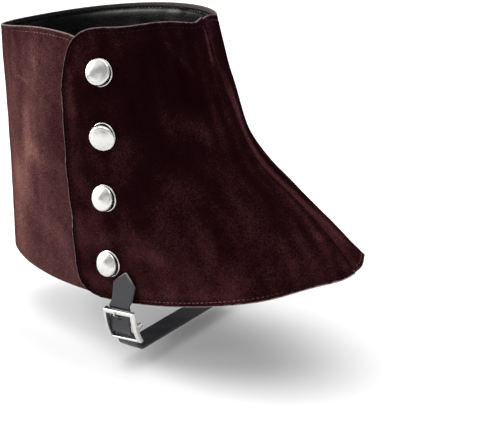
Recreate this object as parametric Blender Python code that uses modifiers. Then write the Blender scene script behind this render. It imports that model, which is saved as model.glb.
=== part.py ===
# A suede spat for the right foot, buttoned down its outer side and held by a strap under the arch.
# +X runs to the toes, +Y to the inner side of the foot, +Z up. The origin is the middle of the ankle.
# Sizes are in millimetres. Heights and lengths are counted from the ground below the back of the heel,
# and build() moves them to the ankle and to metres.
import bpy
import bmesh
import numpy as np
from math import cos, pi, radians, sin
from mathutils import Matrix, Vector

MM = 0.001
ANKLE = (75.0, 0.0, 110.0)      # where the wearer's ankle holds the spat

SUEDE = 1.2                     # thickness of the suede
LINING = 1.0                    # thickness of the lining leather
GAP = 0.3                       # between pieces that touch
LAYERS = SUEDE + GAP + LINING   # one lined panel
LAP = LAYERS + GAP              # how far the flap stands above the panel under it

# Each ring runs round the spat from the centre back, along a side, to the centre front.
# Rings are spaced evenly from the top edge to the hem.
RING_COLUMNS = (
    "back_x", "back_z", "side_x", "side_z", "front_x", "front_z",
    "outer_y", "inner_y", "back_round", "outer_front_round", "inner_front_round",
)
RINGS = (
    (-1.0, 167.0, 78.5, 179.0, 139.0, 182.0, 39.5, 44.5, 1.07, 0.56, 0.49),    # top edge, round the ankle
    (1.0, 140.0, 84.0, 148.0, 152.0, 149.5, 42.5, 44.5, 1.01, 0.57, 0.56),
    (2.5, 113.5, 90.5, 117.5, 170.5, 116.0, 44.5, 44.0, 0.97, 0.56, 0.62),     # bend of the instep
    (2.5, 87.0, 99.0, 90.0, 197.5, 96.0, 45.5, 46.0, 0.93, 0.53, 0.57),
    (1.5, 61.0, 109.0, 63.0, 216.0, 82.0, 46.5, 49.0, 0.89, 0.45, 0.46),
    (0.5, 37.0, 121.0, 38.0, 233.0, 65.0, 47.5, 52.5, 0.87, 0.36, 0.34),       # hem
)

OUTER = -1                      # the side of the foot that faces away from the other one
INNER = 1

# Edges of the flap and of the panel under it, as shares of the way from back to front (round)
# at a share of the way from top to hem (down).
FLAP_EDGE = 0.500
FLAP_EDGE_SLANT = -0.090
FLAP_TOP_CORNER = (0.160, 0.240, 3.2)       # how far round, how far down, squareness
FLAP_HEM_CORNER = (0.055, 0.070, 2.0)
FLAP_TOP = -0.004
FLAP_HEM = 1.005
UNDERLAP_EDGE = 0.695
UNDERLAP_SLANT = -0.180
LAP_FADES_BY = 0.95             # in front of the underlap the front panel settles back down to here
RIM_RISE = 0.016                # the front panel's top edge bows up between these two places
RIM_RISE_FROM = 0.60
RIM_RISE_TO = 0.94
HEM_RISE = 0.015                # the hem bows up over the instep, on both sides
HEM_RISE_FROM = 0.73
HEM_RISE_TO = 1.0
BACK_DIP = 0.032                # the back panel's top edge dips where it goes under the flap
BACK_DIP_FROM = 0.37
BACK_DIP_OVER = 0.17
LINING_INSET = 0.004            # the lining ends this far inside the suede's edges

SNAP_PLACES = ((0.605, 0.138), (0.579, 0.342), (0.537, 0.576), (0.501, 0.842))      # round and down
CAP_RADIUS = 7.0
CAP_HEIGHT = 5.4
CAP_CROWN = 0.7                 # rise of the face towards its middle
CAP_SHOULDER = 1.3              # radius between face and side
CAP_RIM = (7.45, 0.9, 0.2)      # the rim at its foot: radius, height, bevel
STUD_RADIUS = 5.0
STUD_HEIGHT = 1.3
STUD_BEVEL = 0.6
STUD_CLEAR = 0.45               # the lining curves in towards a stud's flat head

STRAP_WIDTH = 13.5
STRAP_THICK = 1.3
STRAP_ROUND = 0.5017            # place of the strap's middle at the hem
STRAP_LEAN = 0.235              # its middle moves forward this much per share of the way up
# Rows across the strap's free end on the flap: how far down, share of its width, slant
STRAP_ROWS = (
    (0.869, 0.06, 0.20),        # the point
    (0.8945, 0.56, 0.20),
    (0.920, 1.0, 0.18),         # its shoulders
    (0.945, 1.0, 0.12),
    (0.970, 1.0, 0.06),
    (0.992, 1.0, 0.02),
)
STRAP_COLUMNS = (-1.0, -0.55, -0.178, 0.178, 0.55, 1.0)     # shares of half its width
STRAP_UNDER_Z = 9.0             # height of its run under the arch
STRAP_BEND = 6.0                # radius of its two bends under the arch
STRAP_OUTER_STEP = 0.6          # from the buckle's lower bar to the first bend
STRAP_INNER_STEP = 4.0          # from the sewn end in to the second bend
STRAP_INNER_HEM = 0.985         # its sewn end inside the inner hem runs from here
STRAP_INNER_TOP = 0.86          # up to here

BUCKLE_CENTRE = (121.7, -52.9, 25.8)
BUCKLE_TILT = radians(11)       # its lower end leans in
BUCKLE_ROLL = radians(5)        # its front side is higher, as the hem is there
BUCKLE_WIDTH = 20.4
BUCKLE_HEIGHT = 20.0
BUCKLE_DEPTH = 2.2
BUCKLE_SIDE = 2.2               # width of its side bars
BUCKLE_END = 2.3                # height of its end bars
BUCKLE_BOW = 1.5                # its middle stands out this much
BAR_RADIUS = 0.7
BAR_DEPTH = 2.5                 # the centre bar lies this far behind the end bars
STRAP_ASIDE = -1.0              # the strap lies to the back of the window
END_BAR_AT = (BUCKLE_HEIGHT - BUCKLE_END) / 2
STRAP_BEHIND = -(BUCKLE_DEPTH / 2 + GAP + STRAP_THICK / 2)     # the strap's middle behind an end bar
STRAP_OVER = 0.4                # the strap's middle over the centre bar
STRAP_LEAVES = 9.6              # how far up and down the buckle the strap follows it
STRAP_SLOT = (2.0, 5.0)         # the prong's slot in the strap, up from the centre bar
EAR_HEIGHT = 3.6
EAR_ROUND_BAR = 0.3             # metal of an ear behind the bar

TAB_WIDTH = 11.0
TAB_THICK = 1.0
TAB_GAP = 0.25
TAB_ROWS = ((0.945, 0.12), (0.965, 0.06), (0.985, 0.02))    # its sewn end on the flap: how far down, slant
TAB_RUN = (9.2, 0.9)            # its way down behind the strap, up from the centre bar
TAB_END = ((1.5, 0.0), (3.2, 0.1), (4.8, 0.5))      # its turned-up end: up, and back from the loop
TAB_SLOT_HALF = 1.3
PRONG_RADIUS = 0.55
PRONG_CLEAR = 0.2               # between the prong's loop and the bar
PRONG_LOOP = (radians(-235), radians(35))
# Its way out through the strap and over the upper end bar: up from the centre bar, and out from its rest
PRONG_RUN = ((3.6, -3.05), (6.9, 0.15), (7.8, 0.3), (8.85, 0.2), (9.8, 0.0))

STEPS_ROUND = 24


def clear_scene():
    for old in list(bpy.data.objects):
        bpy.data.objects.remove(old, do_unlink=True)


def new_collection(name):
    collection = bpy.data.collections.new(name)
    bpy.context.scene.collection.children.link(collection)
    return collection


def new_material(name, colour, roughness, metallic=0.0):
    material = bpy.data.materials.new(name)
    material.use_nodes = True
    shader = material.node_tree.nodes["Principled BSDF"]
    shader.inputs["Base Color"].default_value = (*colour, 1.0)
    shader.inputs["Roughness"].default_value = roughness
    shader.inputs["Metallic"].default_value = metallic
    return material


def smooth_step(share):
    share = np.clip(share, 0.0, 1.0)
    return share * share * (3 - 2 * share)


def column(name, down):
    """One column of RINGS at any height, on a smooth curve through its rows."""
    values = np.array([row[RING_COLUMNS.index(name)] for row in RINGS])
    spans = len(values) - 1
    before = 2 * values[0] - values[1]
    after = 2 * values[-1] - values[-2]
    padded = np.concatenate([[before], values, [after]])
    place = np.asarray(down, float) * spans
    span = np.clip(np.floor(place).astype(int), 0, spans - 1)
    u = place - span
    a, b, c, d = (padded[span + k] for k in range(4))
    square = 2 * a - 5 * b + 4 * c - d
    cube = 3 * b - a - 3 * c + d
    return 0.5 * (2 * b + (c - a) * u + square * u ** 2 + cube * u ** 3)


def base_point(side, around, down):
    """A point of the spat's outer form. Each ring is half an oval towards the back and half towards
    the front, and its height follows one smooth curve through the back, the side and the front."""
    around, down = np.broadcast_arrays(np.asarray(around, float), np.asarray(down, float))
    ring = {name: column(name, down) for name in RING_COLUMNS}
    width = "outer_y" if side == OUTER else "inner_y"
    front_round = "outer_front_round" if side == OUTER else "inner_front_round"
    along = -np.cos(pi * around)
    across = np.clip(np.sin(pi * around), 1e-9, 1.0)
    behind = along < 0
    reach_back = ring["side_x"] - ring["back_x"]
    reach_front = ring["front_x"] - ring["side_x"]
    x = ring["side_x"] + np.where(behind, reach_back, reach_front) * along
    oval = np.where(behind, across ** ring["back_round"], across ** (2 * ring[front_round]))
    y = side * (GAP / 2 + ring[width] * oval)
    rise_back = (ring["side_z"] - ring["back_z"]) / reach_back
    rise_front = (ring["front_z"] - ring["side_z"]) / reach_front
    slope = (rise_back * reach_front + rise_front * reach_back) / (reach_back + reach_front)
    z_behind = ring["side_z"] + reach_back * (slope * along + (slope - rise_back) * along ** 2)
    z_ahead = ring["side_z"] + reach_front * (slope * along + (rise_front - slope) * along ** 2)
    z = np.where(behind, z_behind, z_ahead)
    return np.stack([x, y, z], -1)


def outward(side, around, down):
    """The direction straight out of the form. On the two seams it lies in their plane."""
    step = 1e-3
    around, down = np.broadcast_arrays(np.asarray(around, float), np.asarray(down, float))
    inside = np.clip(around, 2 * step, 1 - 2 * step)
    round_way = base_point(side, inside + step, down) - base_point(side, inside - step, down)
    down_way = base_point(side, inside, down + step) - base_point(side, inside, down - step)
    normal = np.cross(down_way, round_way) * -side
    on_seam = (around <= 0) | (around >= 1)
    normal[..., 1] = np.where(on_seam, 0.0, normal[..., 1])
    return normal / np.linalg.norm(normal, axis=-1, keepdims=True)


def spat_point(side, around, down, out=0.0):
    """A point moved out from the form, or in from it."""
    return base_point(side, around, down) + np.asarray(out)[..., None] * outward(side, around, down)


def corner(reach, height, squareness, share):
    """How far an edge is cut back in a rounded corner, share of the way into it."""
    share = np.clip(share, 0.0, 1.0)
    return reach * (1 - (1 - share ** squareness) ** (1 / squareness))


def flap_edge(down):
    top_reach, top_height, top_square = FLAP_TOP_CORNER
    hem_reach, hem_height, hem_square = FLAP_HEM_CORNER
    edge = FLAP_EDGE + FLAP_EDGE_SLANT * down
    edge = edge + corner(top_reach, top_height, top_square, (FLAP_TOP + top_height - down) / top_height)
    return edge + corner(hem_reach, hem_height, hem_square, (down - FLAP_HEM + hem_height) / hem_height)


def underlap_edge(down):
    return UNDERLAP_EDGE + UNDERLAP_SLANT * down


def bow(around, height, start, end):
    share = np.clip((around - start) / (end - start), 0.0, 1.0)
    return height * (0.5 - 0.5 * np.cos(2 * pi * share))


def hem_rise(around, down):
    """How far the places near the hem move up, so that it bows up over the instep."""
    return bow(around, HEM_RISE, HEM_RISE_FROM, HEM_RISE_TO) * smooth_step((down - 0.75) / 0.25)


def flap_lift(around, down):
    """The front panel lies on the back panel as far as the underlap, and then settles down to the form."""
    start = underlap_edge(down) + 0.02
    return LAP * (1 - smooth_step((around - start) / (LAP_FADES_BY - start)))


def front_point(around, down, out=0.0):
    return spat_point(OUTER, around, down, flap_lift(around, down) + out)


def outer_point(around, down, out=0.0):
    return spat_point(OUTER, around, down, out)


def inner_point(around, down, out=0.0):
    return spat_point(INNER, around, down, out)


def spread(count, crowding=0.5):
    """Shares from 0 to 1, closer together towards both ends."""
    even = np.linspace(0.0, 1.0, count)
    eased = 0.5 - 0.5 * np.cos(pi * even)
    return even * (1 - crowding) + eased * crowding


def front_grid(columns, rows, inset=0.0):
    down = FLAP_TOP + (FLAP_HEM - FLAP_TOP) * spread(rows, 0.8)[:, None]
    start = flap_edge(down) + inset
    around = start + (1 - start) * spread(columns, 0.3)[None, :]
    rise = bow(around, RIM_RISE, RIM_RISE_FROM, RIM_RISE_TO) * (1 - smooth_step(down / 0.2))
    down = down - rise - hem_rise(around, down)
    down = inset + down * (1 - 2 * inset)
    return around, down


def back_grid(columns, rows, inset=0.0):
    down = spread(rows, 0.4)[:, None]
    around = (underlap_edge(down) - inset) * np.linspace(0, 1, columns)[None, :]
    dip = BACK_DIP * np.clip((around - BACK_DIP_FROM) / BACK_DIP_OVER, 0.0, 1.3) ** 2
    down = down + dip * (1 - down)
    return around, inset + down * (1 - 2 * inset)


def inner_grid(columns, rows, inset=0.0):
    down = spread(rows, 0.4)[:, None]
    around = np.linspace(0, 1, columns)[None, :] + 0 * down
    down = down - hem_rise(around, down)
    return around, inset + down * (1 - 2 * inset)


def finish(name, mesh, collection, material, smooth_angle=None):
    obj = bpy.data.objects.new(name, mesh)
    collection.objects.link(obj)
    mesh.materials.append(material)
    if smooth_angle is None:
        mesh.shade_flat()
    else:
        mesh.shade_smooth()
        mesh.set_sharp_from_angle(angle=smooth_angle)
    return obj


def to_frame(points, origin=ANKLE):
    return (np.asarray(points, float) - np.array(origin)) * MM


def add_wall(name, face, back, collection, material, holes=(), origin=ANKLE):
    """A closed wall between two grids of points, face and back. A cell in holes is left open through it."""
    rows, columns = face.shape[:2]
    points = to_frame(np.concatenate([face.reshape(-1, 3), back.reshape(-1, 3)]), origin)
    other = rows * columns
    open_cells = set(holes)

    def is_solid(row, col):
        return 0 <= row < rows - 1 and 0 <= col < columns - 1 and (row, col) not in open_cells

    faces = []
    for row in range(rows - 1):
        for col in range(columns - 1):
            if not is_solid(row, col):
                continue
            a = row * columns + col
            b, c, d = a + 1, a + columns + 1, a + columns
            faces.append((a, d, c, b))
            faces.append((a + other, b + other, c + other, d + other))
            if not is_solid(row - 1, col):
                faces.append((a, b, b + other, a + other))
            if not is_solid(row + 1, col):
                faces.append((c, d, d + other, c + other))
            if not is_solid(row, col - 1):
                faces.append((d, a, a + other, d + other))
            if not is_solid(row, col + 1):
                faces.append((b, c, c + other, b + other))
    mesh = bpy.data.meshes.new(name)
    mesh.from_pydata([tuple(point) for point in points], [], faces)
    work = bmesh.new()
    work.from_mesh(mesh)
    loose = [vert for vert in work.verts if not vert.link_faces]
    bmesh.ops.delete(work, geom=loose, context="VERTS")
    bmesh.ops.triangulate(work, faces=work.faces)
    bmesh.ops.recalc_face_normals(work, faces=work.faces)
    work.to_mesh(mesh)
    work.free()
    return finish(name, mesh, collection, material, radians(40))


def add_panels(collection, suede, lining):
    """Each panel is suede outside and lining inside it, from the same grid of places."""
    jobs = (
        ("outer_front", front_point, front_grid, 21, 22),
        ("outer_back", outer_point, back_grid, 13, 16),
        ("inner", inner_point, inner_grid, 27, 19),
    )
    for name, point, grid, columns, rows in jobs:
        around, down = grid(columns, rows)
        face = point(around, down, 0.0)
        back = point(around, down, -SUEDE)
        add_wall(name + "_panel", face, back, collection, suede)
        around, down = grid(columns, rows, LINING_INSET)
        face = point(around, down, -SUEDE - GAP)
        back = point(around, down, -LAYERS)
        add_wall(name + "_lining", face, back, collection, lining)


def arc(centre, radius, start, end, count):
    angles = np.linspace(start, end, count)
    return [(centre[0] + radius * cos(a), centre[1] + radius * sin(a)) for a in angles]


def add_turned(name, profile, place, direction, collection, material):
    """A profile from its top on the axis out and down to its foot, turned about the axis."""
    mesh = bpy.data.meshes.new(name + "_profile")
    points = [(radius * MM, 0.0, height * MM) for radius, height in profile]
    edges = [(i, i + 1) for i in range(len(points) - 1)]
    mesh.from_pydata(points, edges, [])
    obj = bpy.data.objects.new(name, mesh)
    collection.objects.link(obj)
    mesh.materials.append(material)
    screw = obj.modifiers.new("turn", "SCREW")
    screw.axis = "Z"
    screw.steps = STEPS_ROUND
    screw.render_steps = STEPS_ROUND
    screw.use_merge_vertices = True
    screw.merge_threshold = 0.00001
    screw.use_smooth_shade = True
    turn = Vector(direction).to_track_quat("Z", "Y").to_matrix().to_4x4()
    obj.matrix_world = Matrix.Translation(Vector(to_frame(place))) @ turn
    return obj


def cap_profile():
    """A domed face, a rounded shoulder, a straight side and a low rim."""
    face_edge = CAP_RADIUS - CAP_SHOULDER
    face_z = CAP_HEIGHT - CAP_CROWN
    crown = [(face_edge * share, CAP_HEIGHT - CAP_CROWN * share ** 2) for share in np.linspace(0.0, 1.0, 4)]
    shoulder = arc((face_edge, face_z - CAP_SHOULDER), CAP_SHOULDER, radians(65), 0.0, 4)
    rim_radius, rim_height, bevel = CAP_RIM
    rim = [
        (CAP_RADIUS, rim_height), (rim_radius - bevel, rim_height), (rim_radius, rim_height - bevel),
        (rim_radius, 0.0), (0.0, 0.0),
    ]
    return crown + shoulder + rim


def add_snaps(collection, nickel):
    """A domed cap on the flap, and the flat head of its other half inside the panel beneath."""
    for number, (around, down) in enumerate(SNAP_PLACES, 1):
        direction = outward(OUTER, around, down)
        seat = front_point(around, down, GAP)
        add_turned(f"snap_cap_{number}", cap_profile(), seat, direction, collection, nickel)
        inside = spat_point(OUTER, around, down, -LAYERS - STUD_CLEAR)
        head = [
            (0.0, STUD_HEIGHT), (STUD_RADIUS - STUD_BEVEL, STUD_HEIGHT), (STUD_RADIUS, STUD_HEIGHT * 0.5),
            (STUD_RADIUS, 0.0), (0.0, 0.0),
        ]
        add_turned(f"snap_stud_{number}", head, inside, -direction, collection, nickel)


def buckle_axes():
    """The buckle's width, height and outward directions."""
    up = np.array([0.0, -sin(BUCKLE_TILT), cos(BUCKLE_TILT)])
    wide = np.array([1.0, 0.0, 0.0])
    across = wide * cos(BUCKLE_ROLL) + up * sin(BUCKLE_ROLL)
    upward = -wide * sin(BUCKLE_ROLL) + up * cos(BUCKLE_ROLL)
    return across, upward, np.cross(across, upward)


def buckle_point(across, up, out):
    wide, upward, outwards = buckle_axes()
    across, up, out = (np.asarray(value, float)[..., None] for value in (across, up, out))
    return np.array(BUCKLE_CENTRE) + across * wide + up * upward + out * outwards


def strap_level(up):
    """How far out the strap's middle lies: behind the end bars and over the centre bar."""
    share = np.clip(np.abs(up) / END_BAR_AT, 0.0, 1.0)
    return STRAP_BEHIND + (STRAP_OVER - STRAP_BEHIND) * (0.5 + 0.5 * np.cos(pi * share))


def ribbon_from_path(path, widths, across, thick):
    """Two grids for a flat ribbon. path holds its middle line, and across the direction of its width."""
    path = np.asarray(path, float)
    across = np.broadcast_to(across, path.shape)
    along = np.gradient(path, axis=0)
    normal = np.cross(across, along)
    normal = normal / np.linalg.norm(normal, axis=-1, keepdims=True)
    middle = path[:, None, :] + across[:, None, :] * np.asarray(widths)[..., :, None]
    return middle + normal[:, None, :] * thick / 2, middle - normal[:, None, :] * thick / 2


def panel_rows(point, downs, centres, widths, skews, out):
    """Rows of places across a ribbon that lies on a panel, each a set distance from its middle line."""
    step = 1e-3
    rows = []
    for down, centre, width, skew in zip(downs, centres, widths, skews):
        here = point(centre, down, out)
        per_round = np.linalg.norm(point(centre + step, down, out) - here) / step
        per_down = np.linalg.norm(point(centre, down + step, out) - here) / step
        around = centre + width / per_round
        rows.append(point(around, down + skew * width / per_down, out))
    return np.array(rows)


def strap_centre(down):
    return STRAP_ROUND + STRAP_LEAN * (1 - down)


def add_strap(collection, leather):
    """One ribbon: its pointed free end on the flap, down through the buckle, under the arch,
    and up to its sewn end inside the inner hem."""
    columns = np.array(STRAP_COLUMNS) * STRAP_WIDTH / 2
    downs, shares, slants = np.array(STRAP_ROWS).T
    widths = shares[:, None] * columns[None, :]
    level = GAP + TAB_THICK + TAB_GAP
    inner_face = panel_rows(front_point, downs, strap_centre(downs), widths, slants, level)
    outer_face = panel_rows(front_point, downs, strap_centre(downs), widths, slants, level + STRAP_THICK)

    ups = np.concatenate([[STRAP_LEAVES], np.linspace(8.0, -8.0, 15), [-STRAP_LEAVES]])
    in_buckle = buckle_point(STRAP_ASIDE + 0 * ups, ups, strap_level(ups))
    x, bottom_y = in_buckle[-1][:2]
    outer_y = bottom_y + STRAP_OUTER_STEP + STRAP_BEND
    sewn_level = -LAYERS - GAP - STRAP_THICK / 2
    inner_y = spat_point(INNER, 0.5, 1.0, sewn_level)[1] - STRAP_INNER_STEP - STRAP_BEND
    bend_z = STRAP_UNDER_Z + STRAP_BEND
    under = arc((outer_y, bend_z), STRAP_BEND, pi, 1.5 * pi, 6)[1:]
    under += [(y, STRAP_UNDER_Z) for y in np.linspace(outer_y, inner_y, 7)[1:-1]]
    under += arc((inner_y, bend_z), STRAP_BEND, -0.5 * pi, -0.05 * pi, 6)
    sewn_down = np.linspace(STRAP_INNER_HEM, STRAP_INNER_TOP, 5)
    sewn = spat_point(INNER, inner_place(x) + 0 * sewn_down, sewn_down, sewn_level)
    path = np.concatenate([in_buckle, [(x, y, z) for y, z in under], sewn])
    level_out = smooth_step(np.linspace(-1, 2, len(path)))[:, None]
    across = buckle_axes()[0] * (1 - level_out) + np.array([1.0, 0.0, 0.0]) * level_out
    across = across / np.linalg.norm(across, axis=-1, keepdims=True)
    inward_face, outward_face = ribbon_from_path(path, columns, across, STRAP_THICK)
    face = np.concatenate([outer_face, outward_face])
    back = np.concatenate([inner_face, inward_face])
    low, high = STRAP_SLOT
    holes = [(len(downs) + i, 2) for i, up in enumerate(ups) if low < up < high]
    add_wall("instep_strap", face, back, collection, leather, holes)


def inner_place(x):
    """The place round the inner side whose hem is at this length from the heel."""
    choices = np.linspace(0.3, 0.7, 401)
    lengths = base_point(INNER, choices, STRAP_INNER_HEM)[..., 0]
    return choices[np.argmin(np.abs(lengths - x))]


def add_tab(collection, leather):
    """The leather tab that holds the buckle: sewn on the flap, down behind the strap
    and round the centre bar."""
    half = TAB_WIDTH / 2
    columns = np.array([-half, -TAB_SLOT_HALF, TAB_SLOT_HALF, half])
    downs, slants = np.array(TAB_ROWS).T
    widths = np.ones((len(downs), 1)) * columns[None, :]
    inner_face = panel_rows(front_point, downs, strap_centre(downs), widths, slants, GAP)
    outer_face = panel_rows(front_point, downs, strap_centre(downs), widths, slants, GAP + TAB_THICK)

    ups = np.linspace(*TAB_RUN, 8)
    run = list(zip(ups, strap_level(ups) - STRAP_THICK / 2 - TAB_GAP - TAB_THICK / 2))
    loop = BAR_RADIUS + TAB_GAP + TAB_THICK / 2
    round_bar = arc((0.0, -BAR_DEPTH), loop, 0.5 * pi, 1.5 * pi, 9)
    end = [(up, -BAR_DEPTH - loop - back) for up, back in TAB_END]
    path = run + round_bar + end
    points = np.array([buckle_point(STRAP_ASIDE, up, out) for up, out in path])
    inward_face, outward_face = ribbon_from_path(points, columns, buckle_axes()[0], TAB_THICK)
    face = np.concatenate([outer_face, outward_face])
    back = np.concatenate([inner_face, inward_face])
    slot_rows = range(len(downs) + 4, len(downs) + len(path) - 2)
    add_wall("buckle_tab", face, back, collection, leather, [(row, 1) for row in slot_rows])


def add_box(name, size, place, collection):
    bpy.ops.mesh.primitive_cube_add(size=1.0)
    box = bpy.context.object
    box.name = name
    for vert in box.data.vertices:
        vert.co = Vector([vert.co[k] * size[k] * MM + place[k] * MM for k in range(3)])
    for owner in list(box.users_collection):
        owner.objects.unlink(box)
    collection.objects.link(box)
    return box


def apply_boolean(obj, other, operation):
    modifier = obj.modifiers.new(operation.lower(), "BOOLEAN")
    modifier.operation = operation
    modifier.solver = "EXACT"
    modifier.object = other
    bpy.context.view_layer.update()
    evaluated = obj.evaluated_get(bpy.context.evaluated_depsgraph_get())
    mesh = bpy.data.meshes.new_from_object(evaluated)
    obj.modifiers.clear()
    obj.data = mesh
    other.hide_render = True
    other.display_type = "WIRE"


def add_buckle(collection, cutters, nickel):
    """The frame, bowed out in its middle, with two ears behind its side bars that carry the centre bar.
    It is modelled flat, X across, Y up and Z out, and then turned to its place."""
    slices = 9
    half_height = BUCKLE_HEIGHT / 2
    ups = np.linspace(half_height, -half_height, slices)
    outs = BUCKLE_BOW * (1 - (ups / half_height) ** 2)
    xs = np.array([-BUCKLE_WIDTH / 2, BUCKLE_WIDTH / 2])
    face = np.array([[(x, up, out + BUCKLE_DEPTH / 2) for x in xs] for up, out in zip(ups, outs)])
    back = np.array([[(x, up, out - BUCKLE_DEPTH / 2) for x in xs] for up, out in zip(ups, outs)])
    frame = add_wall("buckle_frame", face, back, collection, nickel, origin=(0, 0, 0))
    window = (BUCKLE_WIDTH - 2 * BUCKLE_SIDE, BUCKLE_HEIGHT - 2 * BUCKLE_END, 4 * BUCKLE_DEPTH + BUCKLE_BOW)
    apply_boolean(frame, add_box("buckle_window", window, (0, 0, 0), cutters), "DIFFERENCE")
    ear_z = -(BAR_DEPTH + BAR_RADIUS + EAR_ROUND_BAR)
    ear_top = BUCKLE_BOW
    for side in (-1, 1):
        middle = side * (BUCKLE_WIDTH - BUCKLE_SIDE) / 2
        size = (BUCKLE_SIDE - 0.2, EAR_HEIGHT, ear_top - ear_z)
        ear = add_box(f"buckle_ear_{side}", size, (middle, 0, (ear_top + ear_z) / 2), cutters)
        apply_boolean(frame, ear, "UNION")
    bar_length = (BUCKLE_WIDTH - BUCKLE_SIDE) * MM
    bpy.ops.mesh.primitive_cylinder_add(vertices=16, radius=BAR_RADIUS * MM, depth=bar_length)
    bar = bpy.context.object
    bar.name = "buckle_bar"
    turn = Matrix.Translation((0, 0, -BAR_DEPTH * MM)) @ Matrix.Rotation(pi / 2, 4, "Y")
    bar.data.transform(turn)
    for owner in list(bar.users_collection):
        owner.objects.unlink(bar)
    cutters.objects.link(bar)
    apply_boolean(frame, bar, "UNION")
    wide, upward, outwards = buckle_axes()
    turn = Matrix([list(axis) for axis in zip(wide, upward, outwards)]).to_4x4()
    frame.matrix_world = Matrix.Translation(Vector(to_frame(BUCKLE_CENTRE))) @ turn
    frame.data.shade_smooth()
    frame.data.set_sharp_from_angle(angle=radians(35))
    return frame


def add_prong(collection, nickel):
    """A round pin bent into a loop on the centre bar, out through the strap and onto the upper end bar."""
    ring = BAR_RADIUS + PRONG_CLEAR + PRONG_RADIUS
    path = arc((0.0, -BAR_DEPTH), ring, *PRONG_LOOP, 14)
    rest = BUCKLE_DEPTH / 2 + BUCKLE_BOW * 0.4 + PRONG_RADIUS
    path += [(up, rest + out) for up, out in PRONG_RUN]
    curve = bpy.data.curves.new("buckle_prong", "CURVE")
    curve.dimensions = "3D"
    curve.bevel_depth = PRONG_RADIUS * MM
    curve.bevel_resolution = 2
    curve.use_fill_caps = True
    spline = curve.splines.new("POLY")
    spline.points.add(len(path) - 1)
    for spot, (up, out) in zip(spline.points, path):
        spot.co = (*to_frame(buckle_point(STRAP_ASIDE, up, out)), 1.0)
    curve.materials.append(nickel)
    prong = bpy.data.objects.new("buckle_prong", curve)
    collection.objects.link(prong)
    return prong


def build():
    clear_scene()
    collection = new_collection("spat")
    cutters = new_collection("cutters")
    suede = new_material("oxblood suede", (0.052, 0.013, 0.016), 0.95)
    lining = new_material("black lining leather", (0.012, 0.012, 0.013), 0.6)
    leather = new_material("black strap leather", (0.022, 0.022, 0.024), 0.5)
    nickel = new_material("polished nickel", (0.66, 0.63, 0.60), 0.14, 1.0)
    add_panels(collection, suede, lining)
    add_snaps(collection, nickel)
    add_strap(collection, leather)
    add_tab(collection, leather)
    add_buckle(collection, cutters, nickel)
    add_prong(collection, nickel)


build()
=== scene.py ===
from math import cos, pi, radians, sin

import bpy
import numpy as np
from mathutils import Matrix


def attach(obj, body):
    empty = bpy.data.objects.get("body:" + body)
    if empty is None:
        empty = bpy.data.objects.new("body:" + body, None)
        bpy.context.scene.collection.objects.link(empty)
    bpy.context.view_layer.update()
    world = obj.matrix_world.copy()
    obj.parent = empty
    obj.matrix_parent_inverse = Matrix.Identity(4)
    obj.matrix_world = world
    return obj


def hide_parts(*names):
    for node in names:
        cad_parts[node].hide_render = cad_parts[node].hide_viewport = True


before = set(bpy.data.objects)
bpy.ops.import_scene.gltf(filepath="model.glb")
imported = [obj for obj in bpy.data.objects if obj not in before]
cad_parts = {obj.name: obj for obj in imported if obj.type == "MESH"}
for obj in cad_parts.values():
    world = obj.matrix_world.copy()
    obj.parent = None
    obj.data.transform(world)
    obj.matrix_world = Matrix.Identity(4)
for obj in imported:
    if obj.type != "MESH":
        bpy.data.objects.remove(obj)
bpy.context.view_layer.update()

print("frame loaded")

# Everything is worked out in millimetres: x from the back of the heel to the toes, y to the inner side of the
# foot, z up from the ground. makeObject moves it to the ankle's frame in metres.
form = {
    "ankle": (75.0, 0.0, 110.0),
    "columns": ("backX", "backZ", "sideX", "sideZ", "frontX", "frontZ",
                "outerY", "innerY", "backRound", "outerFrontRound", "innerFrontRound"),
    # rings round the spat from the top edge to the hem
    "rings": (
        (-1.0, 167.0, 78.5, 179.0, 139.0, 182.0, 39.5, 44.5, 1.07, 0.56, 0.49),
        (1.0, 140.0, 84.0, 148.0, 152.0, 149.5, 42.5, 44.5, 1.01, 0.57, 0.56),
        (2.5, 113.5, 90.5, 117.5, 170.5, 116.0, 44.5, 44.0, 0.97, 0.56, 0.62),
        (2.5, 87.0, 99.0, 90.0, 197.5, 96.0, 45.5, 46.0, 0.93, 0.53, 0.57),
        (1.5, 61.0, 109.0, 63.0, 216.0, 82.0, 46.5, 49.0, 0.89, 0.45, 0.46),
        (0.5, 37.0, 121.0, 38.0, 233.0, 65.0, 47.5, 52.5, 0.87, 0.36, 0.34),
    ),
    "gap": 0.3,             # between two pieces that touch
    "suede": 1.2,           # thickness
    "lining": 1.0,
    "flapEdge": (0.500, -0.090),            # place round at the top, change down to the hem
    "flapTopCorner": (0.160, 0.240, 3.2),   # how far round, how far down, squareness
    "flapHemCorner": (0.055, 0.070, 2.0),
    "flapTop": -0.004,
    "flapHem": 1.005,
    "underlapEdge": (0.695, -0.180),
    "lapFadesBy": 0.95,
    "rimRise": (0.0115, 0.655, 0.975),         # height of a bow of the edge, and between which places
    "hemRise": (0.015, 0.73, 1.0),
    "backDip": (0.032, 0.37, 0.17),
    "frontRise": (0.016, 0.84, 1.08),
    "toeRise": (0.014, 0.87, 1.00),
}
lined = form["suede"] + form["gap"] + form["lining"]
lapHeight = lined + form["gap"]
outerSide, innerSide = -1, 1
placeSize = (230.0, 148.0)      # about how many millimetres a whole place round and a whole place down are


def smoothStep(share):
    share = np.clip(share, 0.0, 1.0)
    return share * share * (3 - 2 * share)


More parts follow.
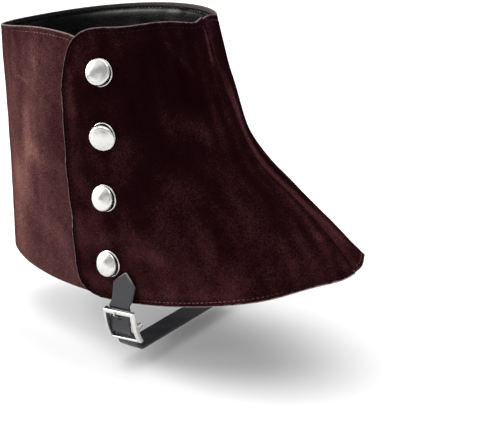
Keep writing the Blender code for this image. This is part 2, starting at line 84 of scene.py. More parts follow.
def smoothThrough(rows, place):
    # a smooth curve (Catmull-Rom) through numbers or points, at places counted in rows
    rows = np.asarray(rows, float)
    padded = np.concatenate([[2 * rows[0] - rows[1]], rows, [2 * rows[-1] - rows[-2]]])
    span = np.clip(np.floor(place).astype(int), 0, len(rows) - 2)
    u = (place - span).reshape(place.shape + (1,) * (rows.ndim - 1))
    a, b, c, d = (padded[span + k] for k in range(4))
    return 0.5 * (2 * b + (c - a) * u + (2 * a - 5 * b + 4 * c - d) * u ** 2
                  + (3 * b - a - 3 * c + d) * u ** 3)


def ringValue(name, down):
    # one column of the rings at any height
    values = [row[form["columns"].index(name)] for row in form["rings"]]
    return smoothThrough(values, np.asarray(down, float) * (len(values) - 1))


def basePoint(side, around, down):
    # a ring is half an oval to the back and half an oval to the front: along it x is minus a cosine, y a
    # power of the sine, and z two parabolas that share their slope at the side
    around, down = np.broadcast_arrays(np.asarray(around, float), np.asarray(down, float))
    ring = {name: ringValue(name, down) for name in form["columns"]}
    width = ring["outerY" if side == outerSide else "innerY"]
    frontRound = ring["outerFrontRound" if side == outerSide else "innerFrontRound"]
    along = -np.cos(pi * around)
    across = np.clip(np.sin(pi * around), 1e-9, 1.0)
    reachBack = ring["sideX"] - ring["backX"]
    reachFront = ring["frontX"] - ring["sideX"]
    behind = along < 0
    x = ring["sideX"] + np.where(behind, reachBack, reachFront) * along
    oval = np.where(behind, across ** ring["backRound"], across ** (2 * frontRound))
    y = side * (form["gap"] / 2 + width * oval)
    riseBack = (ring["sideZ"] - ring["backZ"]) / reachBack
    riseFront = (ring["frontZ"] - ring["sideZ"]) / reachFront
    slope = (riseBack * reachFront + riseFront * reachBack) / (reachBack + reachFront)
    zBehind = ring["sideZ"] + reachBack * (slope * along + (slope - riseBack) * along ** 2)
    zAhead = ring["sideZ"] + reachFront * (slope * along + (riseFront - slope) * along ** 2)
    return np.stack([x, y, np.where(behind, zBehind, zAhead)], -1)


def unit(vectors):
    return vectors / np.maximum(np.linalg.norm(vectors, axis=-1, keepdims=True), 1e-12)


def outward(side, around, down):
    # the cross product of the way round and the way down; on the two seams it stays in their plane
    step = 1e-3
    around, down = np.broadcast_arrays(np.asarray(around, float), np.asarray(down, float))
    inside = np.clip(around, 2 * step, 1 - 2 * step)
    roundWay = basePoint(side, inside + step, down) - basePoint(side, inside - step, down)
    downWay = basePoint(side, inside, down + step) - basePoint(side, inside, down - step)
    normal = np.cross(downWay, roundWay) * -side
    onSeam = (around <= 0) | (around >= 1)
    normal[..., 1] = np.where(onSeam, 0.0, normal[..., 1])
    return unit(normal)


def spatPoint(side, around, down, out=0.0):
    return basePoint(side, around, down) + np.asarray(out)[..., None] * outward(side, around, down)


# how many points the flap's outline has along each stretch, and how many of a corner's go to its first edge
outlinePoints = {"corner": 160, "edge": 300, "ahead": 200, "topTurn": 70, "hemTurn": 80}
# the cutter's slow wobble along the flap's edge: height, waves, start; and one nick: depth, place, width
wobbles = ((0.0013, 21, 0), (0.0009, 47, 1))
nick = (0.0035, 0.232, 0.006)


def flapOutline():
    # the flap's free outline as close places: from the front along the top edge, round a superellipse
    # corner, down the slanted edge with its wobble and nick, round the second corner and along the hem
    start, slant = form["flapEdge"]
    top, hem = form["flapTop"], form["flapHem"]
    topReach, topHeight, topSquare = form["flapTopCorner"]
    hemReach, hemHeight, hemSquare = form["flapHemCorner"]
    angle = np.linspace(0, pi / 2, outlinePoints["corner"])
    small = np.clip(np.cos(angle), 0, 1), np.sin(angle)
    down1 = top + topHeight * (1 - small[0] ** (2 / topSquare))
    cut1 = topReach * (1 - small[1] ** (2 / topSquare))
    down2 = hem - hemHeight * (1 - small[1] ** (2 / hemSquare))
    cut2 = hemReach * (1 - small[0] ** (2 / hemSquare))
    edge = np.linspace(top + topHeight, hem - hemHeight, outlinePoints["edge"])[1:-1]
    down = np.concatenate([down1, edge, down2])
    cut = np.concatenate([cut1, 0 * edge, cut2])
    wobble = sum(height * np.sin(down * count + turn) for height, count, turn in wobbles)
    wobble = wobble + nick[0] * np.exp(-((down - nick[1]) / nick[2]) ** 2)
    around = start + slant * down + cut + wobble * (1 - cut / topReach)
    count = outlinePoints["ahead"]
    ahead = np.linspace(1.0, around[0], count)[:-1], np.linspace(around[-1], 1.0, count)[1:]
    around = np.concatenate([ahead[0], around, ahead[1]])
    down = np.concatenate([np.full(count - 1, top), down, np.full(count - 1, hem)])
    return np.stack([around, down], -1)


def evenly(curve, shares):
    # points on a curve of places at shares of its length in millimetres
    steps = np.linalg.norm(np.diff(curve * placeSize, axis=0), axis=1)
    far = np.concatenate([[0], np.cumsum(steps)]) / steps.sum()
    return np.stack([np.interp(shares, far, curve[:, k]) for k in range(2)], -1)


def underlapEdge(down):
    start, slant = form["underlapEdge"]
    return start + slant * down


def bow(around, height, start, end):
    share = np.clip((around - start) / (end - start), 0.0, 1.0)
    return height * (0.5 - 0.5 * np.cos(2 * pi * share))


def flapLift(around, down):
    # the front panel lies a lap's height up on the back panel, and settles in front of the underlap
    start = underlapEdge(down) + 0.02
    return lapHeight * (1 - smoothStep((around - start) / (form["lapFadesBy"] - start)))


def spread(count, crowding):
    even = np.linspace(0.0, 1.0, count)
    return even * (1 - crowding) + (0.5 - 0.5 * np.cos(pi * even)) * crowding


def frontPlaces(columns, rows, topInset, inset):
    # a patch between four curves (Coons): two opposite pairs blended, less the plane through the four
    # corners. The patch turns from top edge to free edge halfway round each rounded corner.
    outline = flapOutline()
    ahead = outlinePoints["ahead"] - 1
    first, second = ahead + outlinePoints["topTurn"], len(outline) - ahead - outlinePoints["hemTurn"]
    across, along = spread(columns, 0.2), spread(rows, 0.5)
    top = evenly(outline[:first + 1][::-1], across)[None]
    hem = evenly(outline[second:], across)[None]
    left = evenly(outline[first:second + 1], along)[:, None]
    right = np.stack([np.ones(rows), top[0, -1, 1] + (hem[0, -1, 1] - top[0, -1, 1]) * along], -1)[:, None]
    u, v = across[None, :, None], along[:, None, None]
    blend = (1 - v) * top + v * hem + (1 - u) * left + u * right
    blend = blend - ((1 - u) * (1 - v) * top[:, :1] + u * (1 - v) * top[:, -1:]
                     + (1 - u) * v * hem[:, :1] + u * v * hem[:, -1:])
    around = blend[..., 0] + inset * (1 - across[None, :])
    down = blend[..., 1]
    atSeam = bow(1.0, *form["frontRise"]) * smoothStep((around - 0.93) / 0.07)
    down = down - (bow(around, *form["rimRise"]) + atSeam) * (1 - smoothStep(down / 0.2))
    down = down - bow(around, *form["hemRise"]) * smoothStep((down - 0.75) / 0.25)
    return around, topInset + down * (1 - inset - topInset)


def backPlaces(columns, rows, topInset, inset):
    down = spread(rows, 0.4)[:, None]
    around = (underlapEdge(down) - inset) * np.linspace(0, 1, columns)[None, :]
    height, start, over = form["backDip"]
    down = down + height * np.clip((around - start) / over, 0.0, 1.3) ** 2 * (1 - down)
    return around, topInset + down * (1 - inset - topInset)


def innerPlaces(columns, rows, topInset, inset):
    down = spread(rows, 0.4)[:, None]
    around = np.linspace(0, 1, columns)[None, :] + 0 * down
    hemRise = bow(around, *form["hemRise"]) + bow(around, *form["toeRise"])
    down = down - bow(around, *form["frontRise"]) * (1 - smoothStep(down / 0.2))
    down = down - hemRise * smoothStep((down - 0.75) / 0.25)
    return around, topInset + down * (1 - inset - topInset)


def waves(points, length, seed, count=11, stretch=(1.0, 1.0, 1.0)):
    # smooth unevenness, about -1 to 1: a sum of plane waves of near lengths in seeded directions
    draw = np.random.default_rng(seed)
    ways = unit(draw.normal(size=(count, 3))) / np.array(stretch)
    turns = 2 * pi / (length * draw.uniform(0.75, 1.5, count))
    starts = draw.uniform(0, 2 * pi, count)
    return np.sin((points @ ways.T) * turns + starts).sum(-1) / np.sqrt(count) * 0.9


def strokes(around, down, table):
    # soft marks listed one by one: each a bell across a short line between two places, wide in millimetres
    total = np.zeros(np.broadcast(around, down).shape)
    x, y = around * placeSize[0], down * placeSize[1]
    for a0, d0, a1, d1, wide, amount in table:
        start = np.array([a0, d0]) * placeSize
        way = np.array([a1, d1]) * placeSize - start
        long = max(float(way @ way), 1e-6)
        share = np.clip(((x - start[0]) * way[0] + (y - start[1]) * way[1]) / long, 0, 1)
        away = (x - start[0] - share * way[0]) ** 2 + (y - start[1] - share * way[1]) ** 2
        total = total + amount * np.exp(-away / wide ** 2)
    return total


def nearest(points, line):
    # distance of each point to the nearest of a close row of points, and which one that is
    flat = points.reshape(-1, 3)
    size = (line ** 2).sum(-1)
    which = np.concatenate([(size - 2 * part @ line.T).argmin(1) for part in np.array_split(flat, 40)])
    away = np.linalg.norm(flat - line[which], axis=1)
    return away.reshape(points.shape[:-1]), which.reshape(points.shape[:-1])


# Meshes

def makeObject(name, points, faces, materials, slots=None, tone=None):
    mesh = bpy.data.meshes.new(name)
    placed = (np.asarray(points, float).reshape(-1, 3) - np.array(form["ankle"])) * 0.001
    mesh.from_pydata(placed.tolist(), [], faces)
    for material in materials:
        mesh.materials.append(material)
    if slots is not None:
        mesh.polygons.foreach_set("material_index", np.asarray(slots, np.int32))
    if tone is not None:
        layer = mesh.attributes.new("tone", "FLOAT", "POINT")
        layer.data.foreach_set("value", np.asarray(tone, np.float32).ravel())
    mesh.shade_smooth()
    obj = bpy.data.objects.new(name, mesh)
    bpy.context.scene.collection.objects.link(obj)
    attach(obj, "root")
    return obj


def rimLoop(rows, columns):
    # once round the rim of a grid, as row and column numbers
    row = np.concatenate([np.zeros(columns - 1), np.arange(rows - 1), np.full(columns - 1, rows - 1),
                          np.arange(rows - 1, 0, -1)]).astype(int)
    column = np.concatenate([np.arange(columns - 1), np.full(rows - 1, columns - 1),
                             np.arange(columns - 1, 0, -1), np.zeros(rows - 1)]).astype(int)
    return row, column


def makeShell(name, face, normal, thick, rounding, materials, tone, edgeTone=None, backTone=None,
              openCells=None, rubbed=0.0, fray=0.0):
    # a closed leather piece: its face, the same grid a thickness in, and a rounded rim of quarter circles
    # between them. materials are for the face, the cut edge and the back. The edge's colour goes on over
    # the face as far as rubbed, and fray makes the rim uneven.
    rows, columns = face.shape[:2]
    r, c = rimLoop(rows, columns)
    rim = face[r, c]
    inwards = unit(np.cross(normal[r, c], np.roll(rim, -1, axis=0) - np.roll(rim, 1, axis=0)))
    if (inwards * (face[rows // 2, columns // 2] - rim)).sum() < 0:
        inwards = -inwards
    uneven = 1 + fray * waves(rim, 3.0, 5)[:, None]
    steps = [(1 - sin(radians(a)), 1 - cos(radians(a))) for a in (0, 30, 60, 90)]
    depths = [(inset, depth * rounding) for inset, depth in steps]
    depths += [(inset, thick - depth * rounding) for inset, depth in reversed(steps)]
    depths.insert(0, (1 + rubbed / rounding, 0.0))
    rings = [rim + inwards * inset * rounding * uneven - normal[r, c] * depth for inset, depth in depths]
    # the face's points make way for the rounding: distances up to limit are squeezed into margin to limit
    margin, limit = rounding + rubbed, 2.5 * (rounding + rubbed)
    away, which = nearest(face, rim)
    pushed = margin + away * (limit - margin) / limit
    way = (face - rim[which]) / np.maximum(away, 1e-6)[..., None]
    face = np.where((away < limit)[..., None], rim[which] + way * pushed[..., None], face)
    front, back = face.copy(), face - normal * thick
    front[r, c], back[r, c] = rings[0], rings[-1]
    count = rows * columns
    points = np.concatenate([front.reshape(-1, 3), back.reshape(-1, 3)] + rings[1:-1])
    index = np.arange(count).reshape(rows, columns)
    a, b = index[:-1, :-1], index[:-1, 1:]
    d, e = index[1:, :-1], index[1:, 1:]
    solid = np.ones(a.shape, bool) if openCells is None else ~openCells
    cells = np.stack([a, b, e, d], -1)[solid]
    loops = [index[r, c]] + [2 * count + k * len(r) + np.arange(len(r)) for k in range(len(rings) - 2)]
    loops.append(index[r, c] + count)
    band = [np.stack([np.roll(s, -1), s, t, np.roll(t, -1)], -1) for s, t in zip(loops[:-1], loops[1:])]
    walls = []
    if openCells is not None:
        padded = np.pad(openCells, 1)
        for near, first, last in ((padded[1:-1, 2:], e, b), (padded[1:-1, :-2], a, d),
                                  (padded[2:, 1:-1], d, e), (padded[:-2, 1:-1], b, a)):
            picked = solid & near
            s, t = first[picked], last[picked]
            walls.append(np.stack([s, t, t + count, s + count], -1))
    groups = [cells, cells[:, ::-1] + count, np.concatenate(band)] + walls
    slots = np.concatenate([np.full(len(g), slot) for slot, g in zip([0, 2, 1] + [1] * len(walls), groups)])
    quads = np.concatenate(groups)
    turn = np.cross(points[cells[:, 1]] - points[cells[:, 0]], points[cells[:, 3]] - points[cells[:, 0]])
    if (turn * normal.reshape(-1, 3)[cells[:, 0]]).sum() < 0:
        quads = quads[:, ::-1]
    rimTone = tone[r, c] if edgeTone is None else edgeTone[r, c]
    # where the edge is sewn to another, its tone is below zero and it stays the face's own leather
    sewn = rimTone < 0
    rimTone = np.where(sewn, tone[r, c], rimTone)
    firstOfRim = 2 * len(cells)
    slots[firstOfRim:firstOfRim + len(groups[2])] = np.where(np.tile(sewn, len(rings) - 1), 0, 1)
    backTone = tone if backTone is None else backTone
    # the nap hangs over the edge, so that the bare fibres start some way down the rounding
    edgePaleness = [0.3, 0.7] + [1.0] * (len(rings) - 4)
    tone = np.concatenate([tone.ravel(), backTone.ravel()] + [rimTone * share for share in edgePaleness])
    used = np.zeros(len(points), bool)
    used[quads] = True
    renumber = np.cumsum(used) - 1
    quads = renumber[quads]
    return makeObject(name, points[used], quads.tolist(), materials, slots, tone[used])


def loopFaces(count, size, first=0, closed=False):
    # quads between count rings of size points, and fans over both ends unless the row of rings is closed
    ring = np.arange(count * size).reshape(count, size) + first
    after = np.roll(ring, -1, axis=1)
    following = np.roll(ring, -1, axis=0)
    followingAfter = np.roll(after, -1, axis=0)
    keep = count if closed else count - 1
    faces = np.stack([ring, after, followingAfter, following], -1)[:keep].reshape(-1, 4).tolist()
    if not closed:
        start, end = first + count * size, first + count * size + 1
        faces += [[start, b, a] for a, b in zip(ring[0].tolist(), after[0].tolist())]
        faces += [[end, a, b] for a, b in zip(ring[-1].tolist(), after[-1].tolist())]
    return faces


def ringPoints(rings, closed=False):
    # the points of a row of rings, with the middle of the first and of the last for the fans
    rings = np.asarray(rings, float)
    if closed:
        return rings.reshape(-1, 3)
    return np.concatenate([rings.reshape(-1, 3), [rings[0].mean(0)], [rings[-1].mean(0)]])


def facingOut(points, faces):
    # turns all faces round if the volume inside them comes out negative
    triangles = np.array([[f[0], f[k], f[k + 1]] for f in faces for k in range(1, len(f) - 1)])
    a, b, c = (points[triangles[:, k]] for k in range(3))
    volume = np.einsum("ij,ij->i", a, np.cross(b, c)).sum()
    return faces if volume > 0 else [f[::-1] for f in faces]


def joinRings(parts):
    # several rows of rings as one list of points and one of faces
    points, faces, first = [], [], 0
    for rings, closed in parts:
        some = ringPoints(rings, closed)
        own = loopFaces(len(rings), len(rings[0]), 0, closed)
        own = facingOut(some - some.mean(0), own)
        faces += [[corner + first for corner in face] for face in own]
        points.append(some)
        first += len(some)
    return np.concatenate(points), faces


# Materials

def hexColour(text, alpha=1.0):
    # sRGB hex to the linear values that a shader takes
    values = [int(text[k:k + 2], 16) / 255 for k in (1, 3, 5)]
    return tuple(v / 12.92 if v <= 0.04045 else ((v + 0.055) / 1.055) ** 2.4 for v in values) + (alpha,)


def addNode(tree, kind, values=(), links=()):
    node = tree.nodes.new(kind)
    for name, value in dict(values).items():
        if isinstance(name, int) or name in node.inputs:
            node.inputs[name].default_value = value
        else:
            setattr(node, name, value)
    for name, output in dict(links).items():
        tree.links.new(output, node.inputs[name])
    return node


def startMaterial(name, shaderValues):
    material = bpy.data.materials.new(name)
    material.use_nodes = True
    tree = material.node_tree
    tree.nodes.clear()
    shader = addNode(tree, "ShaderNodeBsdfPrincipled", shaderValues)
    addNode(tree, "ShaderNodeOutputMaterial", (), {"Surface": shader.outputs["BSDF"]})
    where = addNode(tree, "ShaderNodeTexCoord").outputs["Object"]
    return material, tree, shader, where


def noise(tree, where, size, detail=3.0, roughness=0.55):
    # noise whose features are about size millimetres
    values = {"Scale": 1000.0 / size, "Detail": detail, "Roughness": roughness}
    return addNode(tree, "ShaderNodeTexNoise", values, {"Vector": where}).outputs["Fac"]


def weightedSum(tree, outputs, weights, offset):
    # offset plus the weighted sum of some values, held between 0 and 1
    total = None
    for number, (output, weight) in enumerate(zip(outputs, weights), 1):
        values = {"operation": "MULTIPLY_ADD", 1: weight, "use_clamp": number == len(outputs)}
        links = {0: output} if total is None else {0: output, 2: total}
        if total is None:
            values[2] = offset
        total = addNode(tree, "ShaderNodeMath", values, links).outputs[0]
    return total


def blended(tree, share, dark, light):
    # a colour from dark to light as share goes from 0 to 1
    values = {"data_type": "RGBA", 6: dark, 7: light}
    return addNode(tree, "ShaderNodeMix", values, {0: share}).outputs[2]


def toneOf(tree):
    # the tone that makeObject has written on the mesh's points
    return addNode(tree, "ShaderNodeAttribute", {"attribute_name": "tone"}).outputs["Fac"]


def addBump(tree, shader, height, strength, distance):
    # a bump of the given distance in millimetres
    bump = addNode(tree, "ShaderNodeBump", {"Strength": strength, "Distance": distance * 0.001},
                   {"Height": height})
    tree.links.new(bump.outputs["Normal"], shader.inputs["Normal"])


finishes = {
    # suede from its darkest nap to its lightest: tone, colour
    "suede": ((0.0, "#0b0103"), (0.2, "#19080b"), (0.32, "#34191c"), (0.5, "#4b2f2f"), (0.66, "#62423e"),
              (1.0, "#91635b")),
    "edgeDark": "#120608", "edgeLight": "#ab9693", "fleshDark": "#1d1a1b", "fleshLight": "#8d817c",
    # the lining's light grey is the top of its painted highlights
    "liningDark": "#040506", "liningPaintedHighlight": "#a0a09c", "liningEdge": "#0b0b0c",
    "strap": "#212126", "strapEdgeDark": "#19191b", "strapEdgeLight": "#c4c0bf",
    "nickel": "#d2d0cd", "threadDark": "#150709", "threadLight": "#86675f",
    "liningThreadDark": "#101010", "liningThreadLight": "#a3a19c",
}


def suedeMaterial():
    # sueded calf, dyed oxblood: a napped face that scatters light, with lighter and darker patches from the
    # tone attribute, partly the nap's own and partly painted light and shade
    material, tree, shader, where = startMaterial("suedeCalfOxblood", {
        "Roughness": 1.0, "Specular IOR Level": 0.0})
    tone = toneOf(tree)
    grain = noise(tree, where, 0.9, 3.0, 0.7)       # the real nap is finer, this is as coarse as shows
    cloud = noise(tree, where, 9.0, 4.0, 0.6)
    # lighter nap stands up more and looks rougher
    centred = addNode(tree, "ShaderNodeMath", {"operation": "SUBTRACT", 1: 0.5}, {0: grain})
    ruffled = addNode(tree, "ShaderNodeMath", {"operation": "MULTIPLY_ADD", 1: 1.3, 2: 0.12}, {0: tone})
    nap = addNode(tree, "ShaderNodeMath", {"operation": "MULTIPLY"},
                  {0: centred.outputs[0], 1: ruffled.outputs[0]})
    share = weightedSum(tree, (tone, nap.outputs[0], cloud), (1.0, 1.0, 0.12), -0.06)
    ramp = addNode(tree, "ShaderNodeValToRGB", (), {"Fac": share}).color_ramp.elements
    for place, colour in finishes["suede"][1:-1]:
        ramp.new(place)
    for stop, (place, colour) in zip(ramp, finishes["suede"]):
        stop.position, stop.color = place, hexColour(colour)
    tree.links.new(tree.nodes["Color Ramp"].outputs["Color"], shader.inputs["Base Color"])
    addBump(tree, shader, grain, 0.55, 0.5)
    return material


def plainMaterial(name, colour, mottle, size, roughness, bumpDepth, **more):
    # one colour that a noise of the given size in millimetres darkens and lightens a little, and bumps
    material, tree, shader, where = startMaterial(name, {"Roughness": roughness, **more})
    grain = noise(tree, where, size)
    dark = tuple(v * (1 - mottle) for v in hexColour(colour)[:3]) + (1.0,)
    light = tuple(min(v * (1 + mottle), 1.0) for v in hexColour(colour)[:3]) + (1.0,)
    tree.links.new(blended(tree, grain, dark, light), shader.inputs["Base Color"])
    addBump(tree, shader, grain, 0.6, bumpDepth)
    return material


def tonedMaterial(name, dark, light, roughness, size):
    # from dark to light as the tone attribute goes from 0 to 1, a little uneven
    material, tree, shader, where = startMaterial(name, {"Roughness": roughness, "Specular IOR Level": 0.06})
    share = weightedSum(tree, (toneOf(tree), noise(tree, where, size)), (1.0, 0.3), -0.15)
    colour = blended(tree, share, hexColour(dark), hexColour(light))
    tree.links.new(colour, shader.inputs["Base Color"])
    return material


def liningMaterial():
    # black glove leather with a fine rounded grain that catches the light, greyer where the tone is high,
    # which paints highlights and shade on it
    material, tree, shader, where = startMaterial("liningLeatherBlack", {
        "Roughness": 0.45, "Specular IOR Level": 0.10})
    share = weightedSum(tree, (toneOf(tree), noise(tree, where, 1.3, 2.0, 0.7)), (1.0, 0.06), -0.03)
    colour = blended(tree, share, hexColour(finishes["liningDark"]), hexColour(finishes["liningPaintedHighlight"]))
    tree.links.new(colour, shader.inputs["Base Color"])
    # grain cells about 1.1 mm wide
    cells = addNode(tree, "ShaderNodeTexVoronoi", {"feature": "SMOOTH_F1", "Scale": 900.0}, {"Vector": where})
    addBump(tree, shader, cells.outputs["Distance"], 0.7, 0.4)
    return material


suede = suedeMaterial()
# fibres of a raw edge, undyed where the tone is high
cutEdge = tonedMaterial("suedeCutEdge", finishes["edgeDark"], finishes["edgeLight"], 1.0, 0.9)
fleshSide = tonedMaterial("suedeFleshSide", finishes["fleshDark"], finishes["fleshLight"], 1.0, 1.5)
lining = liningMaterial()
liningEdge = plainMaterial("liningCutEdge", finishes["liningEdge"], 0.2, 0.8, 0.8, 0.1,
                           **{"Specular IOR Level": 0.08})
# vegetable-tanned strap leather, dyed black and rolled smooth
strapLeather = plainMaterial("strapLeatherBlack", finishes["strap"], 0.22, 1.4, 0.36, 0.12)
strapEdge = tonedMaterial("strapCutEdge", finishes["strapEdgeDark"], finishes["strapEdgeLight"], 0.6, 0.8)
# nickel plate polished to a mirror, very slightly uneven
nickel = plainMaterial("polishedNickel", finishes["nickel"], 0.12, 1.6, 0.25, 0.06, Metallic=1.0)
# oxblood thread, paler where threadTones gives it a higher tone
thread = tonedMaterial("waxedThread", finishes["threadDark"], finishes["threadLight"], 0.7, 0.7)
# grey thread along the lining's top, whose tone also paints a broken highlight there that fades into painted
# shade toward the back
liningThread = tonedMaterial("liningThreadGrey", finishes["liningThreadDark"],
                             finishes["liningThreadLight"], 0.6, 0.7)
print("materials made")

# Panels of suede and lining

# each panel's tone is its base lightness: the back panel's much higher tone than the front's is partly the
# nap's direction and partly painted light from the key lamp on that side
panels = {
    "outerFront": {
        "side": outerSide, "places": frontPlaces, "grid": (210, 175), "cad": "outer_front", "tone": 0.19,
        # lighter and darker patches, partly the nap's own and partly painted light and shade where folds and
        # the panel's turn meet the lamps: from a place round and down, to a place, width in mm, amount
        "nap": (
            (0.78, 0.145, 0.70, 0.20, 24, -0.08), (0.817, 0.22, 0.817, 0.23, 13, -0.06),
            (0.81, 0.055, 0.87, 0.145, 2.6, 0.07), (0.745, 0.27, 0.755, 0.30, 7, 0.04),
            (0.80, 0.27, 0.805, 0.30, 6, 0.09), (0.833, 0.295, 0.84, 0.33, 6, 0.06),
            (0.63, 0.38, 0.63, 0.42, 7, 0.05), (0.503, 0.46, 0.495, 0.56, 8, 0.05),
            (0.515, 0.14, 0.503, 0.27, 4, 0.10), (0.467, 0.70, 0.462, 0.77, 8, 0.09),
            (0.48, 0.75, 0.53, 0.735, 5, 0.05), (0.455, 0.93, 0.49, 0.955, 5, 0.09),
            (0.673, 0.405, 0.603, 0.665, 6, -0.03), (0.63, 0.62, 0.65, 0.70, 9, 0.045),
            (0.66, 0.54, 0.603, 0.765, 8, 0.035), (0.72, 0.70, 0.68, 0.86, 2.5, 0.035),
            (0.70, 0.50, 0.74, 0.53, 9, 0.03), (0.53, 0.90, 0.68, 0.92, 14, 0.08),
            (0.55, 0.96, 0.70, 0.965, 4, 0.05), (0.80, 0.91, 0.92, 0.91, 12, 0.035),
            (0.81, 0.48, 0.835, 0.52, 7, -0.04), (0.545, 0.80, 0.585, 0.80, 5, 0.05),
            (0.60, 0.86, 0.61, 0.87, 5, -0.04), (0.975, 0.45, 0.965, 0.80, 3, 0.05),
            (0.965, 0.80, 0.985, 0.95, 4, 0.05), (0.50, 0.30, 0.475, 0.55, 5, 0.03),
            (0.57, 0.12, 0.66, 0.06, 10, 0.04), (0.60, 0.80, 0.56, 0.72, 6, 0.03),
            (0.992, 0.02, 0.972, 0.11, 2.2, 0.16), (0.972, 0.11, 0.957, 0.18, 2.0, 0.05),
            (0.955, 0.17, 0.935, 0.26, 5, -0.04), (0.80, 0.60, 0.86, 0.72, 10, 0.025),
            (0.62, 0.80, 0.88, 0.84, 26, 0.018),
        ),
    },
    "outerBack": {
        "side": outerSide, "places": backPlaces, "grid": (150, 150), "cad": "outer_back", "tone": 0.46,
        "nap": (
            (0.390, 0.07, 0.372, 0.24, 3.0, 0.08), (0.394, 0.11, 0.392, 0.18, 1.3, 0.09),
            (0.30, 0.185, 0.352, 0.197, 0.9, 0.12), (0.33, 0.33, 0.325, 0.47, 6, 0.16),
            (0.325, 0.47, 0.27, 0.68, 7, 0.13), (0.345, 0.46, 0.375, 0.50, 5, 0.07),
            (0.25, 0.60, 0.225, 0.95, 9, 0.11), (0.37, 0.28, 0.345, 0.62, 1.6, 0.05),
            (0.335, 0.76, 0.39, 0.79, 7, 0.06), (0.31, 0.28, 0.315, 0.31, 6, -0.06),
            (0.24, 0.30, 0.22, 0.60, 10, 0.09), (0.46, 0.15, 0.437, 0.45, 7, -0.07),
            (0.445, 0.45, 0.42, 0.90, 6, -0.05), (0.20, 0.02, 0.30, 0.06, 12, -0.07),
            (0.30, 0.00, 0.49, 0.035, 7, -0.07), (0.33, 0.72, 0.36, 0.86, 14, 0.03),
            (0.10, 0.40, 0.10, 0.80, 14, 0.05), (0.355, 0.18, 0.335, 0.32, 5, 0.07),
            (0.29, 0.45, 0.27, 0.60, 5, 0.05), (0.40, 0.72, 0.41, 0.80, 6, -0.05),
            (0.22, 0.62, 0.20, 0.97, 8, 0.08),
        ),
    },
    "inner": {
        "side": innerSide, "places": innerPlaces, "grid": (250, 150), "cad": "inner", "tone": 0.24,
        "nap": (
            (0.962, 0.24, 0.975, 0.85, 8, 0.09), (0.955, 0.26, 0.965, 0.48, 6, 0.05),
            (0.955, 0.08, 0.94, 0.20, 7, -0.05), (0.90, 0.02, 0.925, 0.60, 8, -0.10),
            (0.60, 0.30, 0.55, 0.60, 16, 0.05), (0.35, 0.20, 0.30, 0.60, 9, 0.09),
            (0.45, 0.75, 0.60, 0.85, 16, 0.05), (0.72, 0.25, 0.80, 0.40, 12, -0.05),
            (0.15, 0.30, 0.15, 0.70, 12, 0.06), (0.80, 0.62, 0.76, 0.80, 8, 0.06),
            (0.50, 0.15, 0.62, 0.12, 14, -0.05),
        ),
    },
}

# soft troughs (minus) and ridges (plus) that wearing has pressed in, in mm: from, to, width, height
folds = {
    "outerFront": (
        (0.80, 0.03, 0.88, 0.16, 4.0, 0.35), (0.84, 0.10, 0.93, 0.26, 5.0, -0.35),
        (0.74, 0.28, 0.86, 0.31, 6.0, 0.45), (0.72, 0.36, 0.90, 0.40, 7.0, -0.55),
        (0.70, 0.46, 0.86, 0.50, 7.0, 0.35), (0.64, 0.30, 0.62, 0.60, 9.0, -0.40),
        (0.56, 0.62, 0.60, 0.85, 8.0, 0.35), (0.72, 0.70, 0.68, 0.88, 5.0, 0.30),
        (0.86, 0.72, 0.84, 0.92, 8.0, 0.35), (0.50, 0.42, 0.48, 0.50, 6.0, -0.30),
        (0.47, 0.72, 0.46, 0.78, 6.0, 0.35), (0.52, 0.20, 0.54, 0.26, 6.0, 0.30),
    ),
    "outerBack": (
        (0.40, 0.05, 0.36, 0.35, 6.0, 0.45), (0.36, 0.35, 0.29, 0.66, 8.0, 0.55),
        (0.22, 0.10, 0.20, 0.55, 8.0, -0.55), (0.44, 0.20, 0.41, 0.60, 6.0, -0.40),
        (0.12, 0.35, 0.10, 0.75, 9.0, 0.45), (0.33, 0.72, 0.36, 0.92, 7.0, -0.30),
    ),
    "inner": (
        (0.35, 0.15, 0.30, 0.62, 8.0, 0.55), (0.22, 0.10, 0.20, 0.60, 8.0, -0.55),
        (0.12, 0.35, 0.10, 0.75, 9.0, 0.45), (0.72, 0.30, 0.90, 0.36, 7.0, -0.55),
        (0.70, 0.40, 0.86, 0.45, 7.0, 0.40), (0.55, 0.25, 0.52, 0.60, 10.0, -0.45),
        (0.62, 0.65, 0.66, 0.90, 8.0, 0.40), (0.80, 0.66, 0.78, 0.90, 8.0, 0.35),
        (0.42, 0.70, 0.44, 0.92, 8.0, -0.35),
    ),
}

sewing = {
    "inset": {"rim": 3.0, "hem": 2.3, "side": 2.3},     # from the edge to the row
    "pitch": 2.6, "length": 1.9, "thick": 0.24,
    "groove": 0.22, "grooveWidth": 0.8,
    "dip": 0.30, "raised": 0.10, "askew": 0.06,         # of a stitch: its ends, its middle, its direction
}
# how leather lies between its folds
slack = {
    # waves: height in mm, length in mm, seed
    "suede": ((0.22, 46.0, 11), (0.08, 15.0, 12)),
    "lining": (0.12, 30.0, 31),
    "flatNearBack": 0.05, "flatNearFront": 0.03,        # how far from the seams, in places
    "heldAtEdge": 0.65, "heldWithin": 12.0,     # the part of it that a sewn edge takes away, and how far in
}
